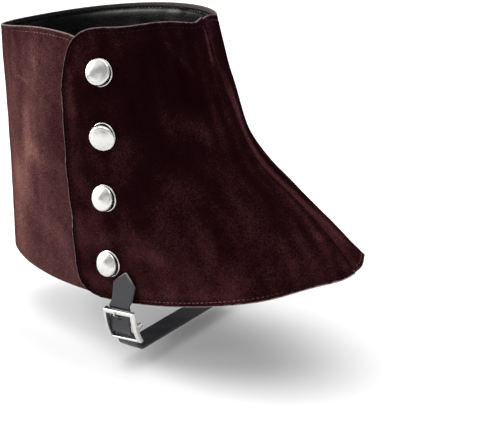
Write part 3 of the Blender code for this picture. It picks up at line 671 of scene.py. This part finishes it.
# the look of the suede, besides each panel's own strokes
nap = {
    # waves of the tone: amount, length in mm, seed
    "streaks": (0.025, 9.0, 21), "streakStretch": 6.0,
    "clouds": (0.02, 22.0, 23),
    "specks": (0.05, 5.0, 24),
    "ridges": 0.03,         # painted light and shade of the folds: lighter by this for each mm that a fold stands up, darker in its troughs and in the sewing's groove
    "laid": (0.07, 1.6, 2.0),   # painted shade between the flap's edge and its sewing: amount, place, width
    "rounding": 0.45, "rubbed": 0.12, "fray": 0.3,      # of the cut edges, in mm and as a share
    "fleshTone": 0.35,
    "seamWithin": 0.012, "seamGap": 0.02,       # the panels close up to this gap at the seams
}
liningCut = {
    "shortAtTop": 0.0105, "shortAtHem": 0.005,      # how far it ends inside the suede's edges, in places
    "coarser": 2, "thinner": 0.1, "rounding": 0.3,
    # painted light: greyer along the middle of the opening's far side, with painted shade toward its front
    # corner: where it starts and ends, in places round
    "greyFrom": 0.22, "greyOver": 0.25, "darkFrom": 0.51, "darkOver": 0.12, "darkBy": 0.85,
    # how strong the painted highlights on the wrinkles and on the roll are
    "wrinkles": 0.035, "roll": 1.2,
    "rollAt": 0.026, "rollRise": 0.006, "rollFade": 0.006,      # the painted highlight along a roll under the top edge, in places down
}


def edgeCurve(name, which, count=900):
    # one edge of a panel as close places round and down: its rim, its hem or the flap's free edge
    part = panels[name]
    around, down = part["places"](count, count, 0.0, 0.0)
    if which == "rim":
        return around[0], down[0]
    if which == "hem":
        return around[-1], down[-1]
    return around[:, 0], down[:, 0]


def liftOf(name, around, down):
    return flapLift(around, down) if name == "outerFront" else np.zeros(np.broadcast(around, down).shape)


def insetCurve(name, around, down, distance):
    # moves a curve of places into the panel: across its own direction and the normal, turned back into
    # places by a two by two solve on the surface's two directions
    side = panels[name]["side"]
    here = basePoint(side, around, down)
    inwards = unit(np.cross(outward(side, around, down), np.gradient(here, axis=0)))
    step = 1e-3
    rounds = (basePoint(side, around + step, down) - here) / step
    downs = (basePoint(side, around, down + step) - here) / step
    middle = basePoint(side, np.array(0.75 if name == "outerFront" else 0.3), np.array(0.5))
    if ((middle - here) * inwards).sum() < 0:
        inwards = -inwards
    rr, dd, rd = ((a * b).sum(-1) for a, b in ((rounds, rounds), (downs, downs), (rounds, downs)))
    ri, di = ((a * inwards).sum(-1) * distance for a in (rounds, downs))
    scale = rr * dd - rd ** 2
    return around + (ri * dd - di * rd) / scale, down + (di * rr - ri * rd) / scale


def sewnCurve(name, which):
    around, down = edgeCurve(name, which)
    return insetCurve(name, around, down, sewing["inset"][which])


sewnEdges = {"outerFront": ("rim", "hem", "side"), "outerBack": ("rim", "hem"), "inner": ("rim", "hem")}


def edgeDistances(name, surface):
    # how far each point is from each sewn edge of its panel, in mm
    found = {}
    for which in sewnEdges[name]:
        a, d = edgeCurve(name, which, 500)
        found[which] = nearest(surface, spatPoint(panels[name]["side"], a, d, liftOf(name, a, d)))[0]
    return found


def awayFromSeams(around):
    # 0 at the back and the front seam, 1 a little away from them
    behind, ahead = around / slack["flatNearBack"], (1 - around) / slack["flatNearFront"]
    return np.minimum(smoothStep(behind), smoothStep(ahead))


def relief(name, around, down, surface, distances):
    # how far the worn suede stands from the plain form, in mm: folds, slack, and the sewing's groove
    total = strokes(around, down, folds[name])
    for height, length, seed in slack["suede"]:
        total = total + height * waves(surface, length, seed)
    total = total * awayFromSeams(around)
    for which, away in distances.items():
        total = total * (1 - slack["heldAtEdge"] * (1 - smoothStep(away / slack["heldWithin"])))
        off = (away - sewing["inset"][which]) / sewing["grooveWidth"]
        total = total - sewing["groove"] * np.exp(-off ** 2)
    return total


def edgeTones(name, around, down):
    # how bare the fibres of the cut edge are: palest down the flap's edge, darkest round the far side.
    # Below zero means sewn, at the front and the back seam.
    height = smoothStep((down - 0.10) / 0.25)
    if name == "outerBack":
        return np.where((around < 1e-4) & (down > 0.002), -1.0, 0.60 - 0.15 * height)
    seam = (np.minimum(around, 1 - around) < 1e-4) & (down > down[0] + 0.002) & (down < 0.985)
    if name == "inner":
        return np.where(seam, -1.0, 0.22 + 0.20 * smoothStep((around - 0.93) / 0.05) * (1 - height))
    return np.where(seam, -1.0, 0.48 + 0.37 * height)


def suedeTone(part, around, down, plain, worn, distances):
    # how light the nap looks: the panel's own tone and strokes, partly painted light and shade, streaks,
    # painted light and shade of the folds and the sewing's groove, clouds, specks, and painted shade inside
    # the flap's sewn edge
    flat = np.stack([around * placeSize[0], down * placeSize[1], 0 * down], -1)
    amount, length, seed = nap["streaks"]
    streaks = amount * waves(flat, length, seed, stretch=(1.0, nap["streakStretch"], 1.0))
    # painted light on the folds' ridges and painted shade in their troughs and in the sewing's groove
    tone = part["tone"] + strokes(around, down, part["nap"]) + streaks + nap["ridges"] * worn
    amount, length, seed = nap["clouds"]
    tone = tone + amount * waves(plain, length, seed)
    amount, length, seed = nap["specks"]
    tone = tone + amount * part["tone"] * waves(plain, length, seed, 17)
    if "side" in distances:
        # painted shade along the strip inside the flap's edge
        amount, place, width = nap["laid"]
        tone = tone - amount * np.exp(-((distances["side"] - place) / width) ** 2)
    return tone


def makeSuede(name, part):
    columns, rows = part["grid"]
    around, down = part["places"](columns, rows, 0.0, 0.0)
    plain = spatPoint(part["side"], around, down, liftOf(name, around, down))
    distances = edgeDistances(name, plain)
    worn = relief(name, around, down, plain, distances)
    normal = outward(part["side"], around, down)
    face = plain + normal * worn[..., None]
    # at the two seams the panels are sewn edge to edge
    toSeam = 1 - smoothStep(np.minimum(around, 1 - around) / nap["seamWithin"])
    face[..., 1] = face[..., 1] - part["side"] * (form["gap"] / 2 - nap["seamGap"]) * toSeam
    tone = suedeTone(part, around, down, plain, worn, distances)
    # the flesh side goes dark toward the back seam: painted shade inside the opening
    fleshTone = nap["fleshTone"] * smoothStep((around - 0.15) / 0.5)
    obj = makeShell(name + "Suede", face, normal, form["suede"], nap["rounding"], [suede, cutEdge, fleshSide],
                    tone, edgeTones(name, around, down), fleshTone, rubbed=nap["rubbed"], fray=nap["fray"])
    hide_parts(part["cad"] + "_panel")
    cells = np.cross(face[1:, :-1] - face[:-1, :-1], face[:-1, 1:] - face[:-1, :-1])
    area = float(np.linalg.norm(cells, axis=-1).sum()) / 100
    edges = (face[0], face[-1], face[:, 0], face[:, -1])
    print(name, "panel made, area in cm2", round(area, 1), "; rim, hem and ends in mm",
          [round(float(np.linalg.norm(np.diff(edge, axis=0), axis=1).sum()), 1) for edge in edges])
    return obj


def liningPaintedLight(around, down, surface):
    # painted light on the black lining: a painted highlight along a roll under the top edge which fades
    # downwards and painted highlights on wrinkles, both greyest along the middle of the far side and held
    # down by painted shade toward its front corner; darker along its top edge
    cut = liningCut
    front = smoothStep((around - cut["greyFrom"]) / cut["greyOver"])
    nearCorner = 1 - cut["darkBy"] * smoothStep((around - cut["darkFrom"]) / cut["darkOver"])
    wrinkles = 0.5 + 0.7 * waves(surface, 6.0, 34, 15, stretch=(2.0, 2.0, 1.0))
    wrinkles = front * wrinkles * nearCorner * (1 - smoothStep((down - 0.10) / 0.3))
    roll = 0.04 + cut["roll"] * front * nearCorner
    roll = roll * np.clip(0.7 + 0.45 * waves(surface, 7.0, 33), 0, 1)
    below = down - cut["rollAt"]
    under = np.where(below > 0, np.exp(-below / cut["rollFade"]), smoothStep(1 + below / cut["rollRise"]))
    return 0.01 + cut["wrinkles"] * wrinkles + roll * under - 0.2 * (1 - smoothStep((down - 0.014) / 0.008))


def makeLining(name, part):
    columns, rows = (count // liningCut["coarser"] for count in part["grid"])
    around, down = part["places"](columns, rows, liningCut["shortAtTop"], liningCut["shortAtHem"])
    inside = -form["suede"] - form["gap"]
    surface = spatPoint(part["side"], around, down, liftOf(name, around, down) + inside)
    normal = outward(part["side"], around, down)
    height, length, seed = slack["lining"]
    loose = height * waves(surface, length, seed) * awayFromSeams(around)
    surface = surface + normal * (loose - height)[..., None]
    tone = liningPaintedLight(around, down, surface)
    obj = makeShell(name + "Lining", surface, normal, form["lining"] - liningCut["thinner"],
                    liningCut["rounding"], [liningEdge, liningEdge, lining], tone)
    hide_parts(part["cad"] + "_lining")
    return obj


sheets = {}
for name, part in panels.items():
    sheets[name] = makeSuede(name, part)
    sheets[name + "Lining"] = makeLining(name, part)

# Sewing

def threadTones(panel, around, down):
    # how pale the stitches look: palest near the flap on the back panel's top edge, and at mid front hem
    if panel == "outerBack":
        return np.where(down < 0.5, 0.15 + 0.60 * smoothStep((around - 0.28) / 0.12), 0.35)
    if panel == "inner":
        return np.where(down < 0.5, 0.15, 0.35)
    middle = smoothStep((around - 0.50) / 0.1) * (1 - smoothStep((around - 0.64) / 0.2))
    return 0.02 + 0.50 * middle * smoothStep((down - 0.9) / 0.05)


def stitchRow(name, panel, around, down, material, level=0.0, facing=1):
    # stitches at an even pitch on a curve of places: each a small capsule that dips into the suede at both
    # ends. level and facing put a row on the inside of the lining instead.
    side = panels[panel]["side"]
    lift = liftOf(panel, around, down)
    line = spatPoint(side, around, down, lift + level)
    far = np.concatenate([[0], np.cumsum(np.linalg.norm(np.diff(line, axis=0), axis=1))])
    spots = np.arange(sewing["pitch"] * 0.7, far[-1] - sewing["pitch"] * 0.5, sewing["pitch"])
    at = np.stack([np.interp(spots, far, around), np.interp(spots, far, down)], -1)
    a, d = at[:, 0], at[:, 1]
    centre = spatPoint(side, a, d, liftOf(panel, a, d) + level)
    normal = outward(side, a, d) * facing
    if facing > 0:
        worn = relief(panel, a, d, centre, edgeDistances(panel, centre))
        centre = centre + normal * (worn + sewing["raised"] * threadTones(panel, a, d))[:, None]
    along = unit(np.stack([np.interp(spots, far, np.gradient(line[:, k], far)) for k in range(3)], -1))
    draw = np.random.default_rng(len(spots))
    across = np.cross(normal, along)
    along = unit(along + across * draw.normal(0, sewing["askew"], (len(spots), 1)))
    across = np.cross(normal, along)
    ends = np.array([-1.0, -0.82, -0.4, 0.0, 0.4, 0.82, 1.0])
    swell = np.array([0.35, 0.8, 1.0, 1.0, 1.0, 0.8, 0.35]) * sewing["thick"]
    angle = np.linspace(0, 2 * pi, 7)[:-1]
    x = ends[:, None] * sewing["length"] / 2 + 0 * angle
    y = swell[:, None] * np.cos(angle)
    z = swell[:, None] * np.sin(angle) - sewing["dip"] * ends[:, None] ** 4
    template = ringPoints(np.stack([x, y, z], -1))
    base = np.array(facingOut(template, loopFaces(7, 6)), dtype=object)
    points = (centre[:, None, :] + along[:, None, :] * template[None, :, :1]
              + across[:, None, :] * template[None, :, 1:2] + normal[:, None, :] * template[None, :, 2:])
    faces = [[corner + k * len(template) for corner in face] for k in range(len(spots)) for face in base]
    tone = threadTones(panel, a, d) * draw.uniform(0.6, 1.2, len(spots))
    if facing < 0:
        # on the lining, a broken painted highlight that fades into painted shade toward the back
        tone = smoothStep((a - 0.25) / 0.4) * draw.uniform(0.1, 1.0, len(spots))
    return makeObject(name, points, faces, [material], None, np.repeat(tone, len(template)))


for name, edges in sewnEdges.items():
    rows = []
    for which in edges:
        around, down = sewnCurve(name, which)
        keep = (around > 0.004) & (around < 0.996)
        if name == "outerBack":
            keep &= around < underlapEdge(down) - 0.02
        row = stitchRow(name + "Stitches" + which.capitalize(), name, around[keep], down[keep], thread)
        rows.append(row)
        if which == "rim":
            row = stitchRow(name + "LiningStitches", name, around[keep], down[keep], liningThread,
                            0.02 - lined, -1)
            rows.append(row)
    sheets[name + "Rows"] = rows
print("sewing made")

# Snaps

caps = {
    "places": ((0.605, 0.138), (0.579, 0.342), (0.537, 0.576), (0.501, 0.842)),
    # how each cap has been pressed askew, as the change of its direction
    "leans": ((-0.04, 0.06, 0.19), (0.26, 0.06, -0.26), (-0.10, 0.01, 0.19), (-0.10, 0.01, 0.19)),
    "leanFrom": 0.9, "leanOver": 3.0,
    "radius": 7.0, "height": 5.0, "crown": 1.1, "shoulder": 1.5,
    "rim": (7.35, 0.9), "segments": 72, "wobble": 0.05,
}


def turned(profile, seat, direction, lean, segments, wobble, seed):
    # rings of a profile of radius and height about a direction, which leans over more the higher the ring
    radius, height = (column[:, None, None] for column in np.array(profile).T)
    direction = unit(direction + np.array(lean) * smoothStep((height - caps["leanFrom"]) / caps["leanOver"]))
    side = unit(np.cross(direction, [0.0, 0.0, 1.0]))
    up = np.cross(side, direction)
    angle = np.linspace(0, 2 * pi, segments + 1)[:-1][None, :, None]
    rings = np.array(seat) + radius * (np.cos(angle) * side + np.sin(angle) * up) + height * direction
    return rings + direction * (wobble * waves(rings, 7.0, seed, 7))[..., None]


def arcPoints(centre, radius, start, end, count):
    angle = np.radians(np.linspace(start, end, count))
    return list(zip(centre[0] + radius * np.cos(angle), centre[1] + radius * np.sin(angle)))


def capProfile():
    faceEdge = caps["radius"] - caps["shoulder"]
    faceZ = caps["height"] - caps["crown"]
    shares = np.linspace(0.04, 1.0, 12)
    crown = list(zip(faceEdge * shares, caps["height"] - caps["crown"] * shares ** 2))
    shoulder = arcPoints((faceEdge, faceZ - caps["shoulder"]), caps["shoulder"], 72, 0, 9)
    rimRadius, rimHeight = caps["rim"]
    middle = rimHeight / 2
    neck = [(caps["radius"], 2.2), (caps["radius"] - 0.12, rimHeight + 0.25),
            (caps["radius"] - 0.05, rimHeight)]
    rim = arcPoints((rimRadius - middle, middle), middle, 80, -80, 8)
    return crown + shoulder + neck + rim + [(caps["radius"] - 1.5, 0.0), (0.2, 0.0)]


for number, ((around, down), lean) in enumerate(zip(caps["places"], caps["leans"]), 1):
    direction = outward(outerSide, around, down)
    seat = spatPoint(outerSide, around, down, flapLift(around, down) + form["gap"])
    rings = turned(capProfile(), seat, direction, lean, caps["segments"], caps["wobble"], 40 + number)
    points, faces = joinRings([(rings, False)])
    cap = makeObject(f"snapCap{number}", points, faces, [nickel])
    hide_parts(f"snap_cap_{number}")
print("snaps made")

# Buckle

buckle = {
    "centre": (121.7, -52.9, 25.8), "tilt": radians(11), "roll": radians(5),
    # corners of the frame and of its window, from the top left clockwise, as cast a little uneven
    "outer": ((-9.9, 9.2), (11.4, 9.4), (12.1, -8.6), (-9.8, -9.7)),
    "inner": ((-8.5, 6.8), (8.6, 7.3), (9.3, -7.0), (-8.5, -7.8)),
    "back": -1.1, "front": 1.7, "bow": 1.5, "endBarAt": 8.85, "sideDeeper": 1.2, "sideFrom": 7.8,
    "barRadius": 0.7, "barDepth": 2.5, "earHeight": 3.6, "aside": -1.6,
}
strap = {
    "width": 13.5, "thick": 1.3, "round": 0.5017, "lean": 0.235,
    "rows": ((0.869, 0.06, 0.20), (0.8945, 0.56, 0.20), (0.920, 1.0, 0.18),
             (0.945, 1.0, 0.12), (0.970, 1.0, 0.06), (0.992, 1.0, 0.02)),
    "underZ": 9.0, "bend": 6.0, "outerStep": 0.6, "innerStep": 4.0, "innerHem": 0.985, "innerTop": 0.86,
    "over": 0.5, "crest": -3.9, "leaves": 9.6, "slot": (2.0, 5.0), "slotShare": 0.178,
    "rowsInBuckle": 15, "closer": 4,
    "tabThick": 1.0, "tabGap": 0.25,
}
strapBehind = buckle["back"] - form["gap"] - strap["thick"] / 2


def buckleAxes():
    up = np.array([0.0, -sin(buckle["tilt"]), cos(buckle["tilt"])])
    wide = np.array([1.0, 0.0, 0.0])
    across = wide * cos(buckle["roll"]) + up * sin(buckle["roll"])
    upward = -wide * sin(buckle["roll"]) + up * cos(buckle["roll"])
    return across, upward, np.cross(across, upward)


def bucklePoint(across, up, out):
    axes = buckleAxes()
    parts = [np.asarray(value, float)[..., None] * axis for value, axis in zip((across, up, out), axes)]
    return np.array(buckle["centre"]) + parts[0] + parts[1] + parts[2]


def roundSection(wide, deep, squareness, count):
    # a superellipse, closed
    angle = np.linspace(0, 2 * pi, count + 1)[:-1]
    c, s = (np.sign(turn) * np.abs(turn) ** (2 / squareness) for turn in (np.cos(angle), np.sin(angle)))
    return c * wide / 2, s * deep / 2


def frameRings():
    # a section rides round between the window's outline and the outer one, which both turn sharply at the
    # corners, and the whole bows out in the middle
    shares = np.concatenate([[0.0, 0.012, 0.03], np.linspace(0.08, 0.92, 15), [0.97, 0.988]])[:, None]
    outlines = []
    for corners in (buckle["outer"], buckle["inner"]):
        corners = np.array(corners)
        sides = [here + (after - here) * shares for here, after in zip(corners, np.roll(corners, -1, axis=0))]
        outlines.append(np.concatenate(sides))
    outer, inner = outlines
    middle, half = (outer + inner) / 2, (outer - inner) / 2
    a, b = roundSection(2.0, 2.0, 3.2, 28)
    line = middle[:, None, :] + half[:, None, :] * a[None, :, None]
    bowed = buckle["bow"] * (1 - (line[..., 1] / 10.0) ** 2)
    out = (buckle["front"] + buckle["back"]) / 2 + b * (buckle["front"] - buckle["back"]) / 2
    # the rear side bar is deeper than the others
    deeper = buckle["sideDeeper"] * smoothStep(-line[..., 0] - buckle["sideFrom"]) * np.minimum(b, 0)[None, :]
    return bucklePoint(line[..., 0], line[..., 1], bowed + out[None, :] + deeper)


def sideBar(side):
    # middle and width of a side bar halfway up
    outer, inner = np.array(buckle["outer"]), np.array(buckle["inner"])
    pair = [1, 2] if side > 0 else [0, 3]
    edges = outer[pair, 0].mean(), inner[pair, 0].mean()
    return sum(edges) / 2, abs(edges[0] - edges[1])


def barRings():
    angle = np.linspace(0, 2 * pi, 17)[:-1]
    across = np.linspace(sideBar(-1)[0], sideBar(1)[0], 9)[:, None] + 0 * angle
    up = buckle["barRadius"] * np.cos(angle) + 0 * across
    out = -buckle["barDepth"] + buckle["barRadius"] * np.sin(angle) + 0 * across
    return bucklePoint(across, up, out)


def earRings(side):
    # a rounded lug from the side bar back round the centre bar
    middle, width = sideBar(side)
    outs = np.array([buckle["bow"], 0.6, -0.6, -1.8, -2.6, -3.1, -3.4, -3.5])
    size = np.array([1.0, 1.0, 1.0, 0.97, 0.88, 0.70, 0.42, 0.18]) * buckle["earHeight"]
    a, b = roundSection(min(width, 2.2) - 0.25, 1.0, 4.0, 16)
    return bucklePoint(middle + a[None, :] + 0 * outs[:, None], b[None, :] * size[:, None],
                       outs[:, None] + 0 * a[None, :])


frameParts = [(frameRings(), True), (barRings(), False), (earRings(-1), False), (earRings(1), False)]
points, faces = joinRings(frameParts)
buckleFrame = makeObject("buckleFrame", points, faces, [nickel])
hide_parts("buckle_frame")


def smoothPath(points, count):
    # close points on a smooth curve through the given ones
    return smoothThrough(points, np.linspace(0, len(points) - 1, count))


prong = {
    "radius": 0.55, "clear": 0.2,
    "loop": (-235, 35),     # round the centre bar, in degrees
    # then up the strap and over the top bar: height over the centre bar, and how far out of the strap's face
    "run": ((3.6, -3.05), (6.9, 0.15), (7.8, 0.3), (8.85, 0.2), (9.8, 0.0)),
    "taper": 0.35, "taperFrom": 0.7,
}


def prongRings():
    ring = buckle["barRadius"] + prong["clear"] + prong["radius"]
    path = arcPoints((0.0, -buckle["barDepth"]), ring, *prong["loop"], 14)
    rest = buckle["front"] + buckle["bow"] * 0.25 + prong["radius"]
    path += [(up, rest + out) for up, out in prong["run"]]
    line = smoothPath(path, 90)
    tangent = unit(np.gradient(line, axis=0))
    share = np.linspace(0, 1, len(line))
    taper = 1 - prong["taper"] * smoothStep((share - prong["taperFrom"]) / (1 - prong["taperFrom"]))
    radius = prong["radius"] * taper * np.sqrt(np.clip((1.004 - share) / 0.03, 0.05, 1))
    angle = np.linspace(0, 2 * pi, 13)[:-1]
    across = buckle["aside"] + radius[:, None] * np.cos(angle)
    up = line[:, None, 0] - tangent[:, None, 1] * radius[:, None] * np.sin(angle)
    out = line[:, None, 1] + tangent[:, None, 0] * radius[:, None] * np.sin(angle)
    return bucklePoint(across, up, out)


points, faces = joinRings([(prongRings(), False)])
buckleProng = makeObject("buckleProng", points, faces, [nickel])
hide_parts("buckle_prong")
print("buckle made")

# Strap

def strapLevel(up):
    # how far out the strap's middle lies: behind both end bars, and bulging between them, most at its crest
    reach = buckle["endBarAt"] - np.sign(up - strap["crest"]) * strap["crest"]
    share = np.clip(np.abs(up - strap["crest"]) / reach, 0.0, 1.0)
    return strapBehind + (strap["over"] - strapBehind) * (0.5 + 0.5 * np.cos(pi * share))


def panelRow(downs, widths, slants, out):
    # places across a ribbon that lies on the flap, each a set distance from its middle line
    centres = strap["round"] + strap["lean"] * (1 - downs)
    step = 1e-3

    def place(around, down):
        return spatPoint(outerSide, around, down, flapLift(around, down) + out)

    here = place(centres, downs)
    perRound = np.linalg.norm(place(centres + step, downs) - here, axis=-1) / step
    perDown = np.linalg.norm(place(centres, downs + step) - here, axis=-1) / step
    around = centres[:, None] + widths / perRound[:, None]
    down = downs[:, None] + slants[:, None] * widths / perDown[:, None]
    return place(around, down)


def strapColumns():
    # places across the strap, from -1 to 1, with a line of them along each side of the prong's slot
    side = strap["slotShare"]
    return np.concatenate([np.linspace(-1, -side, 12), np.linspace(-side, side, 5)[1:-1],
                           np.linspace(side, 1, 12)])


def lyingPart(columns):
    # from the strap's point down to the hem, on the flap
    table = np.array(strap["rows"])
    pointed, straight = table[[0, 2], 0], table[[2, -1], 0]
    knots = np.concatenate([np.linspace(*pointed, 10)[:-1], np.linspace(*straight, 13)])
    shares = np.interp(knots, table[:, 0], table[:, 1])
    slants = np.interp(knots, table[:, 0], table[:, 2])
    widths = shares[:, None] * columns[None, :] * strap["width"] / 2
    level = form["gap"] + strap["tabThick"] + strap["tabGap"] + strap["thick"] / 2
    return panelRow(knots, widths, slants, level)


def hangingPath():
    # the strap's middle line behind the buckle, down, under the arch and up to where it is sewn, and the
    # direction across it
    leaves = [strap["leaves"]]
    ups = np.concatenate([leaves, np.linspace(8.0, -8.0, strap["rowsInBuckle"]), np.negative(leaves)])
    inBuckle = bucklePoint(buckle["aside"] + 0 * ups, ups, strapLevel(ups))
    x, bottomY = inBuckle[-1][:2]
    outerY = bottomY + strap["outerStep"] + strap["bend"]
    sewnLevel = -lined - form["gap"] - strap["thick"] / 2
    innerY = spatPoint(innerSide, 0.5, 1.0, sewnLevel)[1] - strap["innerStep"] - strap["bend"]
    bendZ = strap["underZ"] + strap["bend"]
    under = arcPoints((outerY, bendZ), strap["bend"], 180, 270, 6)[1:]
    under += [(y, strap["underZ"]) for y in np.linspace(outerY, innerY, 7)[1:-1]]
    under += arcPoints((innerY, bendZ), strap["bend"], -90, -9, 6)
    choices = np.linspace(0.3, 0.7, 401)
    sewnRound = choices[np.argmin(np.abs(basePoint(innerSide, choices, strap["innerHem"])[..., 0] - x))]
    sewnDown = np.linspace(strap["innerHem"], strap["innerTop"], 5)
    sewn = spatPoint(innerSide, sewnRound + 0 * sewnDown, sewnDown, sewnLevel)
    path = np.concatenate([inBuckle, [(x, y, z) for y, z in under], sewn])
    turn = smoothStep(np.linspace(-1, 2, len(path)))[:, None]
    across = unit(buckleAxes()[0] * (1 - turn) + np.array([1.0, 0.0, 0.0]) * turn)
    path = smoothPath(path, (len(path) - 1) * strap["closer"] + 1)
    return path, smoothPath(across, len(path))


def strapGrid():
    # middle surface of the whole strap, from its point to its sewn end, and the cells that its slot opens
    columns = strapColumns()
    lying = lyingPart(columns)
    path, across = hangingPath()
    hanging = path[:, None, :] + across[:, None, :] * (columns * strap["width"] / 2)[None, :, None]
    join = smoothPath(np.stack([lying[-2].mean(0), lying[-1].mean(0), path[0], path[1]]), 31)[11:20]
    share = np.linspace(0, 1, len(join) + 2)[1:-1][:, None, None]
    between = (1 - share) * (lying[-1] - lying[-1].mean(0)) + share * (hanging[0] - hanging[0].mean(0))
    grid = np.concatenate([lying, between + join[:, None, :], hanging])
    above = len(lying) + len(between)
    upOfRow = np.concatenate([np.full(above, 99.0), (path - np.array(buckle["centre"])) @ buckleAxes()[1]])
    upOfCell = (upOfRow[:-1] + upOfRow[1:]) / 2
    nearBuckle = np.arange(len(upOfCell)) < above + (strap["rowsInBuckle"] + 2) * strap["closer"]
    low, high = strap["slot"]
    openRows = (upOfCell > low) & (upOfCell < high) & nearBuckle
    middle = (columns[:-1] + columns[1:]) / 2
    return grid, openRows[:, None] & (np.abs(middle) < strap["slotShare"])[None, :]


grid, openCells = strapGrid()
downWay, wideWay = np.gradient(grid, axis=0), np.gradient(grid, axis=1)
normal = unit(np.cross(wideWay, downWay))
if normal[3, 12, 1] > 0:
    normal = -normal
grid = grid + normal * (0.06 * waves(grid, 11.0, 51))[..., None]
# the cut edge gets a painted highlight at the point, most of all on the left, the side toward the key lamp
rowShare = np.arange(len(grid))[:, None] / 10.0
edgePaleness = 0.12 + (1 - smoothStep(rowShare)) * np.linspace(0.85, 0.45, grid.shape[1])[None, :]
instepStrap = makeShell("instepStrap", grid + normal * strap["thick"] / 2, normal, strap["thick"], 0.3,
                        [strapLeather, strapEdge, strapLeather], edgePaleness, openCells=openCells)
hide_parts("instep_strap")
print("strap made")

for node, material in (("buckle_tab", strapLeather), ("snap_stud_1", nickel), ("snap_stud_2", nickel),
                       ("snap_stud_3", nickel), ("snap_stud_4", nickel)):
    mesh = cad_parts[node].data
    mesh.materials.clear()
    mesh.materials.append(material)

# The area of each panel's face and of its lining's face, in square metres
for name in panels:
    for piece, other in ((name, name + "Lining"), (name + "Lining", name)):
        mesh = sheets[piece].data
        shown = 0 if piece == name else 2
        areas = [polygon.area for polygon in mesh.polygons if polygon.material_index == shown]
        print(piece, "face area in m2", round(sum(areas), 5))
        rows = [row for row in sheets[name + "Rows"] if ("Lining" in row.name) == (piece != name)]

# Floor, light and camera

studio = {
    "floorZ": -0.1105, "floorSize": 8.0, "floorColour": "#f2f2f2",
    "world": "#ffffff", "worldGrey": "#a4a4a8", "worldScale": 1.7, "worldStrength": 1.1,
    # soft boxes: where they stand (x, y, z in metres), size, power in watts
    "boxes": (
        ((-1.25, -0.55, 0.55), 1.0, 17.0),
        ((0.1, 0.3, 1.5), 2.2, 22.0),
    ),
    "aim": (0.02, 0.0, -0.02),
}


def addFloor():
    half = studio["floorSize"] / 2
    mesh = bpy.data.meshes.new("floor")
    z = studio["floorZ"]
    corners = [(-half, -half, z), (half, -half, z), (half, half, z), (-half, half, z)]
    mesh.from_pydata(corners, [], [(0, 1, 2, 3)])
    material, tree, shader, where = startMaterial("matteWhitePaper", {
        "Base Color": hexColour(studio["floorColour"]), "Roughness": 1.0, "Specular IOR Level": 0.0})
    mesh.materials.append(material)
    floor = bpy.data.objects.new("floor", mesh)
    bpy.context.scene.collection.objects.link(floor)


def addLights():
    world = bpy.data.worlds.new("studio")
    bpy.context.scene.world = world
    world.use_nodes = True
    tree = world.node_tree
    tree.nodes.clear()
    # soft brighter and greyer parts of a white room, which the nickel reflects
    way = addNode(tree, "ShaderNodeNewGeometry").outputs["Normal"]
    cloud = addNode(tree, "ShaderNodeTexNoise", {"Scale": studio["worldScale"], "Detail": 1.5},
                    {"Vector": way})
    share = addNode(tree, "ShaderNodeMapRange", {"From Min": 0.38, "From Max": 0.56},
                    {"Value": cloud.outputs["Fac"]}).outputs["Result"]
    colour = blended(tree, share, hexColour(studio["worldGrey"]), hexColour(studio["world"]))
    back = addNode(tree, "ShaderNodeBackground", {"Strength": studio["worldStrength"]}, {"Color": colour})
    addNode(tree, "ShaderNodeOutputWorld", (), {"Surface": back.outputs["Background"]})
    aim = np.array(studio["aim"])
    for number, (place, size, power) in enumerate(studio["boxes"], 1):
        light = bpy.data.lights.new(f"softBox{number}", "AREA")
        light.shape = "SQUARE"
        light.size = size
        light.energy = power
        obj = bpy.data.objects.new(light.name, light)
        obj.matrix_world = facing(np.array(place), unit(aim - np.array(place)), np.array([0.0, 0.0, 1.0]))
        bpy.context.scene.collection.objects.link(obj)


def facing(place, forward, up):
    right = unit(np.cross(forward, up))
    above = np.cross(right, forward)
    turn = Matrix([list(column) for column in zip(right, above, -forward)]).to_4x4()
    return Matrix.Translation(place.tolist()) @ turn


def addCamera():
    camera = bpy.data.cameras.new("camera")
    camera.lens = 84.84
    camera.sensor_width = 36.0
    camera.sensor_fit = "HORIZONTAL"
    camera.clip_start = 0.01
    camera.clip_end = 50.0
    obj = bpy.data.objects.new("camera", camera)
    place = np.array([0.41625, -0.47143, 0.19336])
    obj.matrix_world = facing(place, unit(np.array([-0.53148, 0.76599, -0.36166])), np.array([0.0, 0.0, 1.0]))
    bpy.context.scene.collection.objects.link(obj)
    bpy.context.scene.camera = obj


addFloor()
addLights()
addCamera()
bpy.context.scene.view_settings.view_transform = "Standard"
print("studio made")
